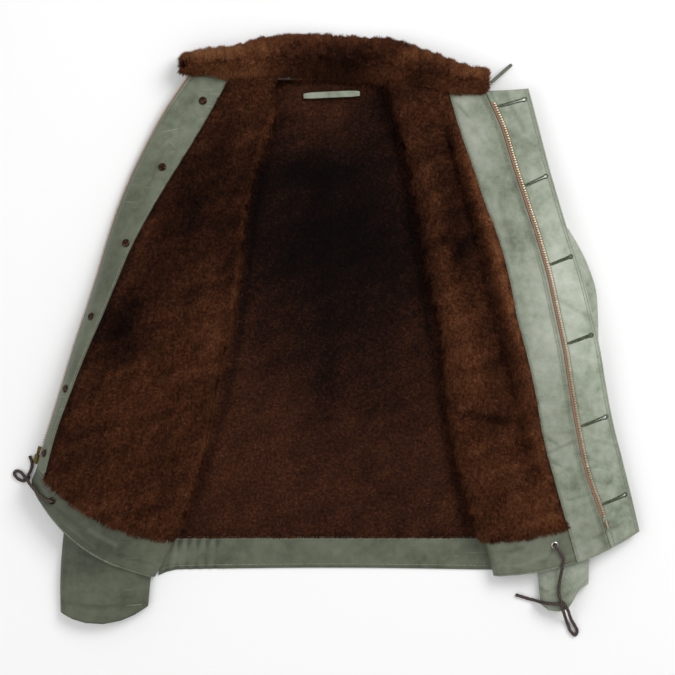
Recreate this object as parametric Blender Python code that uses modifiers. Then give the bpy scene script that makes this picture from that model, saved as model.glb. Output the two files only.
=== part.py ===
"""Leather deck jacket with a fur lining, laid open on its back with the inside up.

Metres, +Z up. The collar points to +Y, and the wearer's right front lies on the -X side.
Each front is one sheet: from the side seam it runs inwards over the back, turns over at a soft fold
and lies outwards over its sleeve to the centre-front edge. Layers on a front are made from the
points of its shell, moved out by their thickness and a seam gap.
"""

import math

import bmesh
import bpy
from mathutils import Matrix, Vector

# Cloth and gaps
LEATHER = 0.0016
BAND = 0.0032  # hem bands and the wind flap are leather folded double
TAPE = 0.0010
PILE = 0.0090  # fur and its skin, lying free
PRESSED_PILE = 0.0060  # fur with another layer on it
COLLAR_PILE = 0.0170
SEAM_GAP = 0.0003
TRIM = 0.0002  # each piece stops this far before a shared seam
BAND_TRIM = 0.0008  # the thick band, where the seam is curved

# Layers over the floor where a front lies on the back
BACK_TOP = LEATHER + SEAM_GAP + PILE
SEAM_FOOT = LEATHER + SEAM_GAP
LOWER_LEG = BACK_TOP + 2 * SEAM_GAP + PRESSED_PILE + LEATHER / 2
FOLD_RADIUS = 0.0026
UPPER_LEG = LOWER_LEG + 2 * FOLD_RADIUS
FOLD_REACH = FOLD_RADIUS + LEATHER / 2 + SEAM_GAP + PILE
FOLD_ANGLES = (-90, -45, 0, 45, 90)

# The origin is under the middle of the laid-out jacket
ORIGIN_X = -0.0030
ORIGIN_Y = 0.0120

HEM_ROW = 12.0
BAND_ROW = 11.0

# Side line of the back: neck point, shoulder tip (row 3), armhole, underarm (row 7), side seam, hem
SIDE_COLUMNS = ("y", "right_x", "left_x")
SIDE_LINE = (
    (0.3535, 0.1080, 0.0900),
    (0.3220, 0.1520, 0.1400),
    (0.2900, 0.2000, 0.1900),
    (0.2580, 0.2386, 0.2300),
    (0.1950, 0.2130, 0.2030),
    (0.1350, 0.2050, 0.1950),
    (0.0800, 0.2110, 0.2000),
    (0.0350, 0.2260, 0.2140),
    (-0.0500, 0.2240, 0.2120),
    (-0.1300, 0.2280, 0.2130),
    (-0.2000, 0.2340, 0.2150),
    (-0.2730, 0.2405, 0.2175),
    (-0.3190, 0.2455, 0.2205),
)

# One row for each step down a front, x measured outwards from the middle line.
# fold and edge are where the row starts and ends in plan, bow is how far its middle dips to the hem,
# facing and flap are their widths in plan, and the heights are those of the shell's middle.
FRONT_COLUMNS = (
    "fold_x", "fold_y", "edge_x", "edge_y", "bow", "facing", "flap",
    "crest", "valley", "facing_z", "zip_z", "edge_z",
)
FRONTS = {
    "r": (
        (0.079, 0.358, 0.199, 0.358, 0.000, 0.055, 0.0, 0.026, 0.000, 0.025, 0.022, 0.022),
        (0.081, 0.293, 0.231, 0.311, 0.000, 0.058, 0.0, 0.029, 0.001, 0.027, 0.018, 0.018),
        (0.101, 0.238, 0.255, 0.269, 0.000, 0.056, 0.0, 0.032, 0.002, 0.030, 0.014, 0.014),
        (0.118, 0.183, 0.277, 0.225, 0.000, 0.050, 0.0, 0.034, 0.002, 0.033, 0.012, 0.012),
        (0.126, 0.126, 0.296, 0.180, 0.000, 0.043, 0.0, 0.037, 0.001, 0.036, 0.010, 0.010),
        (0.132, 0.068, 0.312, 0.133, 0.000, 0.035, 0.0, 0.039, 0.000, 0.039, 0.009, 0.009),
        (0.144, 0.010, 0.326, 0.086, 0.000, 0.030, 0.0, 0.042, 0.001, 0.042, 0.009, 0.009),
        (0.157, -0.047, 0.341, 0.039, 0.000, 0.026, 0.0, 0.043, 0.002, 0.044, 0.009, 0.009),
        (0.169, -0.104, 0.357, -0.008, 0.003, 0.022, 0.0, 0.042, 0.002, 0.045, 0.009, 0.009),
        (0.179, -0.162, 0.373, -0.060, 0.008, 0.018, 0.0, 0.043, 0.001, 0.045, 0.009, 0.009),
        (0.196, -0.218, 0.391, -0.118, 0.014, 0.015, 0.0, 0.040, 0.001, 0.043, 0.009, 0.009),
        (0.216, -0.277, 0.409, -0.174, 0.022, 0.019, 0.0, 0.038, 0.000, 0.038, 0.009, 0.009),
        (0.250, -0.327, 0.418, -0.197, 0.027, 0.030, 0.0, 0.034, 0.000, 0.033, 0.009, 0.009),
    ),
    "l": (
        (0.060, 0.3515, 0.260, 0.339, 0.0085, 0.050, 0.060, 0.026, 0.001, 0.027, 0.027, 0.026),
        (0.076, 0.293, 0.273, 0.289, 0.006, 0.058, 0.051, 0.029, 0.003, 0.030, 0.029, 0.027),
        (0.093, 0.238, 0.286, 0.238, 0.004, 0.056, 0.049, 0.032, 0.005, 0.034, 0.032, 0.028),
        (0.103, 0.181, 0.300, 0.188, 0.002, 0.055, 0.047, 0.034, 0.006, 0.037, 0.035, 0.030),
        (0.113, 0.124, 0.315, 0.138, 0.000, 0.052, 0.046, 0.036, 0.006, 0.040, 0.037, 0.032),
        (0.123, 0.068, 0.331, 0.089, 0.000, 0.052, 0.048, 0.039, 0.006, 0.042, 0.039, 0.033),
        (0.137, 0.012, 0.344, 0.039, 0.000, 0.053, 0.050, 0.040, 0.005, 0.043, 0.039, 0.032),
        (0.143, -0.046, 0.356, -0.012, 0.000, 0.050, 0.051, 0.039, 0.005, 0.042, 0.038, 0.030),
        (0.149, -0.103, 0.365, -0.063, 0.000, 0.047, 0.052, 0.040, 0.006, 0.041, 0.036, 0.026),
        (0.158, -0.160, 0.375, -0.114, 0.004, 0.047, 0.053, 0.037, 0.008, 0.038, 0.034, 0.022),
        (0.172, -0.217, 0.388, -0.164, 0.010, 0.044, 0.055, 0.038, 0.004, 0.037, 0.031, 0.018),
        (0.190, -0.277, 0.401, -0.215, 0.014, 0.048, 0.050, 0.034, 0.002, 0.034, 0.028, 0.015),
        (0.210, -0.326, 0.413, -0.265, 0.014, 0.049, 0.047, 0.030, 0.000, 0.030, 0.025, 0.013),
    ),
}
SIGN = {"r": -1, "l": 1}
DROOP = {"r": math.radians(75), "l": math.radians(35)}  # how steep a front ends at its edge

# Rows and columns that the solids are drawn on
ROWS = (0, 0.5, 1, 1.5, 2, 2.5, 3, 3.5, 4, 5, 6, 7, 8, 9, 10, 10.5, 11)
BAND_ROWS = (11, 11.5, 12)
PILE_STEPS = (0.10, 0.24, 0.42, 0.60, 0.74, 0.88, 1.0)
FACING_STEPS = {"r": (0.25, 0.5, 0.75, 1.0), "l": (0.5, 1.0)}
FLAP_HOLE_START = 0.20
FLAP_HOLE_END = 0.87
FLAP_STEPS = (0, FLAP_HOLE_START, 0.52, FLAP_HOLE_END, 1)
FACING_SLANT = 0.20  # the facings' upper edges fall by this many rows to the fur

# Fastenings: six buttons face six buttonholes. A button has its row and its share of the facing's
# width, a hole its row and how many rows the flap falls there from its edge to the zip.
BUTTON_PLACES = ((0.72, 0.24), (2.69, 0.26), (4.93, 0.18), (7.13, 0.40), (9.07, 0.32), (10.55, 0.38))
HOLES = ((0.43, 0.21), (2.48, 0.34), (4.65, 0.26), (6.74, 0.19), (8.87, 0.10), (10.87, -0.10))
BUTTON_RADIUS = 0.0080
BUTTON_HEIGHT = 0.0030
BUTTON_SHANK = 0.0036  # the button stands off the curved front on it
STUD_RADIUS = 0.0055
STUD_HEIGHT = 0.0020
HOLE_HALF_ROW = 0.033  # a slot 3.4 mm wide
CHAIN_HEIGHT = 0.0026
ZIP_SEAM_WIDTH = 0.0032
CHAIN_WIDTH = 0.0030
LEFT_ZIP_ROWS = (0.40, 1.0, 1.5, 2, 3, 4, 5, 6, 7, 8, 9, 10, 11, 11.14)
PIN_ROW = 11.31
TAPE_REACH_TOP = 0.0056
TAPE_REACH_HEM = 0.0045
SLIDER_ROW = 10.9

# Sleeve rings from the shoulder tip to the cuff, x outwards from the middle line
SLEEVE_COLUMNS = ("inner_x", "inner_y", "outer_x", "outer_y", "height", "bow")
SLEEVES = {
    "r": (
        (0.2410, 0.2530, 0.2560, 0.2500, 0.012, 0.000),
        (0.2150, 0.1950, 0.2720, 0.2030, 0.022, 0.000),
        (0.2070, 0.1350, 0.2900, 0.1400, 0.028, 0.000),
        (0.2130, 0.0800, 0.3030, 0.0840, 0.031, 0.000),
        (0.2280, 0.0350, 0.3180, 0.0370, 0.034, 0.000),
        (0.2265, -0.0500, 0.3450, -0.0480, 0.036, 0.000),
        (0.2310, -0.1300, 0.3570, -0.1250, 0.035, 0.000),
        (0.2380, -0.2000, 0.3660, -0.1950, 0.032, 0.002),
        (0.2480, -0.2640, 0.3740, -0.2580, 0.028, 0.006),
        (0.2560, -0.3270, 0.3795, -0.3250, 0.024, 0.013),
        (0.2598, -0.3680, 0.3795, -0.3760, 0.021, 0.019),
    ),
    "l": (
        (0.2325, 0.2530, 0.2460, 0.2500, 0.012, 0.000),
        (0.2050, 0.1950, 0.2680, 0.2030, 0.022, 0.000),
        (0.1970, 0.1350, 0.3180, 0.1460, 0.026, 0.000),
        (0.2020, 0.0800, 0.3495, 0.0800, 0.028, 0.000),
        (0.2160, 0.0350, 0.3565, 0.0300, 0.029, 0.000),
        (0.2150, -0.0500, 0.3560, -0.0450, 0.029, 0.000),
        (0.2250, -0.1300, 0.3520, -0.1200, 0.028, 0.000),
        (0.2450, -0.2000, 0.3480, -0.1900, 0.026, 0.000),
        (0.2630, -0.2640, 0.3465, -0.2550, 0.024, 0.002),
        (0.2750, -0.3270, 0.3450, -0.3050, 0.023, 0.011),
        (0.2785, -0.3655, 0.3440, -0.3370, 0.020, 0.0205),
    ),
}
# How far a cuff dips towards the hem, over its width: one even bow, or a lobe with a notch beside it
CUFF_BOWS = {
    "r": ((0.0, 0.0), (0.15, 0.51), (0.3, 0.84), (0.5, 1.0), (0.7, 0.84), (0.85, 0.51), (1.0, 0.0)),
    "l": (
        (0.0, 0.0), (0.15, 0.55), (0.35, 0.9), (0.54, 1.0), (0.65, 0.66), (0.75, 0.2), (0.85, 0.0), (1.0, 0.0),
    ),
}
# A flattened sleeve's section: place across it and share of its height
SLEEVE_SECTION = (
    (0.50, 0.00), (0.94, 0.00), (1.00, 0.26), (0.985, 0.55), (0.92, 0.80), (0.76, 0.96),
    (0.50, 1.00), (0.24, 0.96), (0.08, 0.80), (0.015, 0.55), (0.00, 0.26), (0.06, 0.00),
)
SLIT_HEIGHT = 0.0036
SLIT_MARGIN = 0.12
SLIT_FIRST_RING = 2

# Collar stations from the -X end: seam edge, free edge and height of the seam over the floor
COLLAR_COLUMNS = ("x", "seam_y", "free_y", "lift")
COLLAR = (
    (-0.2125, 0.3650, 0.3760, 0.0200),
    (-0.2060, 0.3610, 0.3850, 0.0215),
    (-0.1920, 0.3596, 0.3895, 0.0225),
    (-0.1700, 0.3592, 0.3925, 0.0235),
    (-0.1480, 0.3592, 0.3950, 0.0235),
    (-0.1260, 0.3592, 0.4005, 0.0225),
    (-0.1030, 0.3592, 0.4085, 0.0190),
    (-0.0780, 0.3590, 0.4140, 0.0130),
    (-0.0450, 0.3575, 0.4150, 0.0060),
    (-0.0100, 0.3565, 0.4140, 0.0026),
    (0.0200, 0.3560, 0.4120, 0.0030),
    (0.0480, 0.3560, 0.4100, 0.0080),
    (0.0700, 0.3545, 0.4080, 0.0150),
    (0.0990, 0.3510, 0.3990, 0.0205),
    (0.1320, 0.3445, 0.3870, 0.0235),
    (0.1560, 0.3405, 0.3755, 0.0245),
    (0.1770, 0.3375, 0.3680, 0.0245),
    (0.1940, 0.3368, 0.3665, 0.0235),
    (0.2040, 0.3410, 0.3620, 0.0225),
)
COLLAR_SECTION = (
    (0.00, 0.00), (-0.02, 0.45), (0.08, 0.82), (0.34, 1.00), (0.66, 0.97), (0.92, 0.68),
    (1.00, 0.30), (0.99, 0.00), (0.50, 0.00),
)
COLLAR_END_PILE = 0.55
COLLAR_GAP = 0.0032 # the fur's skin over the under collar, where both slope
COLLAR_DROOP = 0.60  # share of the lift that the free edge loses

# Back
BACK_STEPS = 8
BAND_STARTS = {"r": (0.008, 0.001), "l": (0.0125, 0.0050)}  # how far from the fold a front's band starts
GATHERS = 6  # drawn up at the -X end of the back hem band
GATHER_START = -0.236
GATHER_END = -0.158
GATHER_DEPTH = 0.0015
HEM_SAG = 0.0075  # how far the back's hem falls at its -X end
HEM_SAG_REACH = 0.030
BACK_BAND_TOP = -0.2740
BACK_BAND_HEM = -0.3190

# Cords of the drawstring, from the eyelet to the knot, then a loop and a free end
CORD = 0.0045
CORD_SPACING = 0.0075
EYELET_ROW = {"r": 11.40, "l": 11.33}
EYELET_PLACE = {"r": 0.81, "l": 0.45}  # share of the band's length from the fold
EYELET_LIFT = 0.0010
EYELET_RADIUS = 0.0050
EYELET_HOLE = 0.0029
EYELET_HEIGHT = 0.0014
CORD_LEADS = {
    "r": (
        (-0.3965, -0.2195, 0.0390), (-0.4020, -0.2155, 0.0383), (-0.4070, -0.2105, 0.0366),
        (-0.4115, -0.2060, 0.0340), (-0.4165, -0.2015, 0.0290), (-0.4205, -0.1988, 0.0205),
        (-0.4235, -0.1962, 0.0125), (-0.4249, -0.1948, 0.0089),
    ),
    "l": (
        (0.3061, -0.2993, 0.0362), (0.3055, -0.3075, 0.0356), (0.3045, -0.3150, 0.0347),
        (0.3032, -0.3235, 0.0310), (0.3022, -0.3320, 0.0272), (0.3013, -0.3440, 0.0254),
        (0.3022, -0.3530, 0.0248), (0.3053, -0.3598, 0.0248),
    ),
}
CORD_KNOTS = {"r": (-0.4262, -0.1932, 0.0048), "l": (0.3072, -0.3640, 0.0248)}
CORD_LOOPS = {
    "r": (
        (-0.4300, -0.1968, 0.0029), (-0.4362, -0.1956, 0.0027), (-0.4424, -0.1905, 0.0027),
        (-0.4438, -0.1852, 0.0027), (-0.4395, -0.1832, 0.0027), (-0.4340, -0.1858, 0.0029),
        (-0.4305, -0.1900, 0.0036),
    ),
    "l": (
        (0.3062, -0.3690, 0.0236), (0.3080, -0.3738, 0.0228), (0.3100, -0.3785, 0.0150),
        (0.3134, -0.3870, 0.0060), (0.3170, -0.3960, 0.0029), (0.3200, -0.4030, 0.0027),
        (0.3262, -0.4088, 0.0027), (0.3292, -0.4030, 0.0027), (0.3254, -0.3950, 0.0032),
        (0.3206, -0.3870, 0.0070), (0.3168, -0.3785, 0.0150), (0.3148, -0.3738, 0.0228),
        (0.3120, -0.3680, 0.0236),
    ),
}
CORD_TAILS = {
    "r": (
        (-0.4243, -0.1886, 0.0045), (-0.4215, -0.1830, 0.0032), (-0.4198, -0.1765, 0.0028),
        (-0.4200, -0.1700, 0.0028), (-0.4228, -0.1630, 0.0028),
    ),
    "l": (
        (0.3026, -0.3636, 0.0248), (0.2950, -0.3631, 0.0235), (0.2870, -0.3627, 0.0215),
        (0.2800, -0.3624, 0.0165), (0.2745, -0.3615, 0.0085), (0.2690, -0.3603, 0.0032),
        (0.2632, -0.3591, 0.0027), (0.2540, -0.3562, 0.0027), (0.2450, -0.3535, 0.0027),
    ),
}
KNOT_RADIUS = 0.0042

# Small leather: hanger loop at the neck and the throat strap
HANGER = ((-0.0465, 0.0), (-0.0340, 0.0022), (-0.0080, 0.0030), (0.0180, 0.0022), (0.0305, 0.0))
HANGER_Y = 0.3325
HANGER_TILT = 0.045  # it climbs a little to the wearer's left
HANGER_WIDTH = 0.0085
STRAP_PATH = (
    (0.2085, 0.3462, 0.0270), (0.2170, 0.3540, 0.0240), (0.2270, 0.3635, 0.0150), (0.2390, 0.3745, 0.0060),
)
STRAP_WIDTH = 0.0050

COLOURS = {
    "leather": ((0.20, 0.25, 0.17), 0.55, 0.0),
    "fur": ((0.060, 0.024, 0.014), 0.95, 0.0),
    "tape": ((0.42, 0.30, 0.21), 0.90, 0.0),
    "brass": ((0.42, 0.31, 0.13), 0.35, 1.0),
    "dark_metal": ((0.13, 0.11, 0.08), 0.45, 1.0),
    "cord": ((0.045, 0.035, 0.028), 0.85, 0.0),
}


# ---------------------------------------------------------------- tables read at any row


def straight(table, columns, name, at):
    """A column's value between two rows, along a straight line."""
    column = columns.index(name)
    low = min(int(at), len(table) - 2)
    share = at - low
    return table[low][column] * (1 - share) + table[low + 1][column] * share


def smooth(table, columns, name, at):
    """A column's value on a smooth curve through the rows."""
    column = columns.index(name)
    last = len(table) - 1
    low = min(int(at), last - 1)
    share = at - low
    before, start, end, after = (table[min(max(low + step, 0), last)][column] for step in (-1, 0, 1, 2))
    bend = 2 * before - 5 * start + 4 * end - after
    twist = 3 * (start - end) + after - before
    return start + share * ((end - before) + share * (bend + share * twist)) / 2


def curve_through(points, at):
    """Height at a place on a smooth curve through (place, height) pairs."""
    last = len(points) - 1
    low = max(index for index in range(last) if index == 0 or points[index][0] <= at)
    span = points[low + 1][0] - points[low][0]
    share = (at - points[low][0]) / span

    def slope(index):
        first, second = max(index - 1, 0), min(index + 1, last)
        return (points[second][1] - points[first][1]) / (points[second][0] - points[first][0])

    start, end = points[low][1], points[low + 1][1]
    ease = share * share * (3 - 2 * share)
    lean = share * (1 - share) * ((1 - share) * slope(low) - share * slope(low + 1)) * span
    return start + (end - start) * ease + lean


# ---------------------------------------------------------------- the fronts' form


class FrontRow:
    """One row across a front: its places in plan, and heights of the shell's middle."""

    def __init__(self, side, at):
        table = FRONTS[side]
        self.side = side
        self.value = {name: smooth(table, FRONT_COLUMNS, name, at) for name in FRONT_COLUMNS}
        self.fold = Vector((self.value["fold_x"], self.value["fold_y"]))
        self.edge = Vector((self.value["edge_x"], self.value["edge_y"]))
        side_name = {"r": "right_x", "l": "left_x"}[side]
        self.seam = Vector(
            (straight(SIDE_LINE, SIDE_COLUMNS, side_name, at), straight(SIDE_LINE, SIDE_COLUMNS, "y", at))
        )
        run = self.edge - self.fold
        self.length = run.length
        self.out = run.normalized()
        self.down = Vector((self.out.y, -self.out.x))
        if self.down.y > 0:
            self.down = -self.down
        self.turn = self.fold + self.out * FOLD_REACH
        self.tape_reach = TAPE_REACH_TOP + (TAPE_REACH_HEM - TAPE_REACH_TOP) * at / HEM_ROW
        self.at = at

    def placed(self, plan, height):
        return Vector((SIGN[self.side] * plan.x - ORIGIN_X, plan.y - ORIGIN_Y, height))

    def across(self, distance, height):
        """A point this far along the row from the fold line."""
        share = distance / self.length
        bowed = 4 * share * (1 - share) * self.value["bow"]
        return self.placed(self.fold + self.out * distance + self.down * bowed, height)

    def facing_start(self):
        return self.length - self.value["facing"] - self.value["flap"]

    def zip_line(self):
        return self.length - self.value["flap"]

    def lower_leg(self):
        leg = self.turn - self.seam
        inwards = leg.normalized()
        near = min(0.008, 0.45 * leg.length)
        flat = min(0.016, 0.72 * leg.length)
        middle = (flat + leg.length) / 2
        return [
            self.placed(self.seam, SEAM_FOOT),
            self.placed(self.seam, 0.55 * LOWER_LEG),
            self.placed(self.seam + inwards * near, LOWER_LEG - 0.0012),
            self.placed(self.seam + inwards * flat, LOWER_LEG),
            self.placed(self.seam + inwards * middle, LOWER_LEG),
        ]

    def fold_turn(self):
        points = []
        for angle in FOLD_ANGLES:
            reach = FOLD_RADIUS * math.cos(math.radians(angle))
            rise = FOLD_RADIUS * math.sin(math.radians(angle))
            points.append(self.placed(self.turn - self.out * reach, LOWER_LEG + FOLD_RADIUS + rise))
        return points

    def pile_point(self, share):
        """On the part that the fur lies on, from the fold (0) to the facing (1)."""
        value = self.value
        heights = (
            (0.00, UPPER_LEG),
            (0.28, UPPER_LEG + 0.6 * (value["crest"] - UPPER_LEG)),
            (0.55, value["crest"]),
            (0.76, (value["crest"] + value["facing_z"]) / 2 - value["valley"]),
            (0.90, value["facing_z"] + 0.3 * value["valley"]),
            (1.00, value["facing_z"]),
        )
        distance = FOLD_REACH + (self.facing_start() - FOLD_REACH) * share
        return self.across(distance, curve_through(heights, share))

    def facing_point(self, share):
        """From the fur (0) to the zip line (1). The right front drops there to its edge."""
        value = self.value
        steepest = DROOP[self.side]
        angle = share * steepest
        along = math.sin(angle) / math.sin(steepest)
        drop = (1 - math.cos(angle)) / (1 - math.cos(steepest))
        height = value["facing_z"] + (value["zip_z"] - value["facing_z"]) * drop
        return self.across(self.facing_start() + value["facing"] * along, height)

    def flap_point(self, share):
        """From the zip line (0) to the wind flap's free edge (1)."""
        value = self.value
        height = value["zip_z"] + (value["edge_z"] - value["zip_z"]) * (0.45 * share + 0.55 * share**2)
        return self.across(self.zip_line() + value["flap"] * share, height)

    def tape_point(self, share):
        """Zip tape past the right front's edge, from the edge (0) to the teeth's outer side (1)."""
        drop = 0.0052 * share - 0.0008 * share**2
        return self.placed(self.edge + self.out * self.tape_reach * share, self.value["edge_z"] - drop)


def base_rows(side, rows, sections):
    """The shell's middle surface as rows of points, and each section's first and last column."""
    grid = []
    spans = {}
    for at in rows:
        row = FrontRow(side, at)
        line = []
        for name, points in sections(row):
            spans[name] = (len(line), len(line) + len(points))
            line += points
        grid.append(line)
    return grid, spans


def lining_normals_of(grid, side):
    """Unit normals, pointing to the lining's side."""
    rows, columns = len(grid), len(grid[0])
    result = []
    for i in range(rows):
        line = []
        for j in range(columns):
            along = grid[min(i + 1, rows - 1)][j] - grid[max(i - 1, 0)][j]
            over = grid[i][min(j + 1, columns - 1)] - grid[i][max(j - 1, 0)]
            line.append(along.cross(over).normalized() * SIGN[side])
        result.append(line)
    return result


def part_of(grid, rows, columns):
    return [line[columns[0]:columns[1]] for line in grid[rows[0]:rows[1]]]


def trimmed(grid, top=0.0, bottom=0.0, start=0.0, end=0.0):
    """A grid whose border rows and columns stop short of the seam."""
    result = [[point.copy() for point in line] for line in grid]

    def towards(point, other, distance):
        return point + (other - point).normalized() * distance

    for line in result:
        line[0] = towards(line[0], line[1], start)
        line[-1] = towards(line[-1], line[-2], end)
    result[0] = [towards(point, other, top) for point, other in zip(result[0], result[1])]
    result[-1] = [towards(point, other, bottom) for point, other in zip(result[-1], result[-2])]
    return result


def moved_out(grid, normals, distance):
    return [
        [point + normal * distance for point, normal in zip(*lines)]
        for lines in zip(grid, normals)
    ]


# ---------------------------------------------------------------- making objects


def clear_scene():
    for thing in list(bpy.data.objects):
        bpy.data.objects.remove(thing, do_unlink=True)


def new_collection(name):
    collection = bpy.data.collections.new(name)
    bpy.context.scene.collection.children.link(collection)
    return collection


def material_for(name, finish):
    colour, roughness, metallic = COLOURS[finish]
    material = bpy.data.materials.new(name + "_" + finish)
    material.use_nodes = True
    shader = material.node_tree.nodes["Principled BSDF"]
    shader.inputs["Base Color"].default_value = (*colour, 1)
    shader.inputs["Roughness"].default_value = roughness
    shader.inputs["Metallic"].default_value = metallic
    material.diffuse_color = (*colour, 1)
    return material


def add_object(name, data, finish):
    thing = bpy.data.objects.new(name, data)
    data.materials.append(material_for(name, finish))
    jacket.objects.link(thing)
    return thing


def mesh_from(name, points, faces, finish):
    mesh = bpy.data.meshes.new(name)
    mesh.from_pydata([tuple(point) for point in points], [], faces)
    mesh.update()
    mesh.shade_smooth()
    mesh.set_sharp_from_angle(angle=math.radians(50))
    return add_object(name, mesh, finish)


def grid_faces(rows, columns, first=0, skip=()):
    """Triangles of a grid whose points are numbered row by row, split alike on every layer."""
    faces = []
    for i in range(rows - 1):
        for j in range(columns - 1):
            if (i, j) in skip:
                continue
            corner = first + i * columns + j
            opposite = corner + columns + 1
            faces.append((corner, corner + columns, opposite))
            faces.append((corner, opposite, corner + 1))
    return faces


def wall(name, grid, thickness, finish, skip=()):
    """An open sheet given its thickness, half to each side."""
    points = [point for line in grid for point in line]
    thing = mesh_from(name, points, grid_faces(len(grid), len(grid[0]), skip=skip), finish)
    solid = thing.modifiers.new("thickness", "SOLIDIFY")
    solid.thickness = thickness
    solid.offset = 0
    return thing


def border_of(rows, columns):
    """The grid's border points in order, once round."""
    top = list(range(columns))
    right = [i * columns + columns - 1 for i in range(1, rows)]
    bottom = [(rows - 1) * columns + j for j in range(columns - 2, -1, -1)]
    left = [i * columns for i in range(rows - 2, 0, -1)]
    return top + right + bottom + left


def pad(name, lower, upper, finish):
    """A closed pad of fur between two surfaces with the same rows and columns."""
    rows, columns = len(lower), len(lower[0])
    count = rows * columns
    points = [point for line in upper for point in line] + [point for line in lower for point in line]
    faces = grid_faces(rows, columns)
    faces += [tuple(reversed(face)) for face in grid_faces(rows, columns, first=count)]
    border = border_of(rows, columns)
    for here, there in zip(border, border[1:] + border[:1]):
        faces.append((here, there, there + count, here + count))
    thing = mesh_from(name, points, faces, finish)
    face_outwards(thing)
    return thing


def loft(name, rings, finish, caps=(True, True)):
    """Rings of equally many points joined one to the next, facing out."""
    size = len(rings[0])
    points = [point for ring in rings for point in ring]
    faces = []
    for i in range(len(rings) - 1):
        for j in range(size):
            k = (j + 1) % size
            faces.append((i * size + j, i * size + k, (i + 1) * size + k, (i + 1) * size + j))
    if caps[0]:
        faces.append(tuple(range(size - 1, -1, -1)))
    if caps[1]:
        faces.append(tuple((len(rings) - 1) * size + j for j in range(size)))
    thing = mesh_from(name, points, faces, finish)
    face_outwards(thing)
    return thing


def face_outwards(thing):
    shape = bmesh.new()
    shape.from_mesh(thing.data)
    bmesh.ops.recalc_face_normals(shape, faces=shape.faces)
    shape.to_mesh(thing.data)
    shape.free()


def frame_on(point, normal, along):
    """A placing whose Z is the normal and whose X runs along."""
    normal = normal.normalized()
    side = normal.cross(along).normalized()
    forward = side.cross(normal)
    turn = Matrix((forward, side, normal)).transposed().to_4x4()
    return Matrix.Translation(point) @ turn


def turned(name, profile, steps, finish, place):
    """A round piece: (radius, height) pairs from the top centre down the outer side."""
    mesh = bpy.data.meshes.new(name)
    points = [(radius, 0, height) for radius, height in profile]
    edges = [(i, i + 1) for i in range(len(points) - 1)]
    mesh.from_pydata(points, edges, [])
    thing = add_object(name, mesh, finish)
    thing.matrix_world = place
    screw = thing.modifiers.new("turning", "SCREW")
    screw.axis = "Z"
    screw.steps = steps
    screw.render_steps = steps
    screw.use_merge_vertices = True
    screw.merge_threshold = 0.00005
    return thing


def block(name, size, bevel, finish, place):
    shape = bmesh.new()
    bmesh.ops.create_cube(shape, size=1)
    bmesh.ops.scale(shape, vec=size, verts=shape.verts)
    mesh = bpy.data.meshes.new(name)
    shape.to_mesh(mesh)
    shape.free()
    thing = add_object(name, mesh, finish)
    thing.matrix_world = place
    rounding = thing.modifiers.new("rounding", "BEVEL")
    rounding.width = bevel
    rounding.segments = 1
    return thing


def smooth_route(points, spacing):
    """Points at even spacing on a smooth curve through the route's own points."""
    table = [tuple(point) for point in points]
    columns = ("x", "y", "z")
    steps = 12
    dense = []
    for index in range((len(table) - 1) * steps + 1):
        dense.append(Vector([smooth(table, columns, name, index / steps) for name in columns]))
    length = sum((b - a).length for a, b in zip(dense, dense[1:]))
    count = max(2, round(length / spacing))
    route = [dense[0]]
    travelled = 0.0
    for a, b in zip(dense, dense[1:]):
        travelled += (b - a).length
        if travelled >= len(route) * length / count - 1e-9 and len(route) < count:
            route.append(b)
    return route + [dense[-1]]


def tube(name, route, radius, finish):
    curve = bpy.data.curves.new(name, "CURVE")
    curve.dimensions = "3D"
    curve.bevel_depth = radius
    curve.bevel_resolution = 2
    curve.use_fill_caps = True
    spline = curve.splines.new("POLY")
    spline.points.add(len(route) - 1)
    for point, place in zip(spline.points, route):
        point.co = (*place, 1)
    return add_object(name, curve, finish)


def settled(points):
    """Hand-placed points, moved to the jacket's origin."""
    return [Vector((x - ORIGIN_X, y - ORIGIN_Y, z)) for x, y, z in points]


# ---------------------------------------------------------------- back


def back_grid(rows, height, inset, top_y=None, bottom_y=None):
    grid = []
    for at in rows:
        y = straight(SIDE_LINE, SIDE_COLUMNS, "y", at)
        low = -straight(SIDE_LINE, SIDE_COLUMNS, "right_x", at) + inset
        high = straight(SIDE_LINE, SIDE_COLUMNS, "left_x", at) - inset
        if at == rows[0] and top_y is not None:
            y = top_y
        if at == rows[-1] and bottom_y is not None:
            y = bottom_y
        line = []
        for step in range(BACK_STEPS + 1):
            x = low + (high - low) * step / BACK_STEPS
            line.append(Vector((x - ORIGIN_X, y - ORIGIN_Y, height)))
        grid.append(line)
    return grid


def back_shell():
    rows = tuple(range(12))
    wall("back_shell", back_grid(rows, LEATHER / 2, 0.0), LEATHER, "leather")


def back_lining():
    rows = tuple(range(12))
    skin = LEATHER + SEAM_GAP
    lower = back_grid(rows, skin, 0.004)
    upper = back_grid(rows, BACK_TOP, 0.004)
    for i, line in enumerate(upper):
        for j, point in enumerate(line):
            border = i in (0, len(upper) - 1) or j in (0, len(line) - 1)
            if border:
                point.z = skin + 0.62 * PILE
    hem = [0.0, 0.001, 0.002, 0.0022, 0.0018, 0.0006, -0.0006, 0.0, 0.001]
    for line in (lower[-1], upper[-1]):
        for point, rise in zip(line, hem):
            point.y += rise - 0.0005
    pad("lining_back", lower, upper, "fur")


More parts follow.
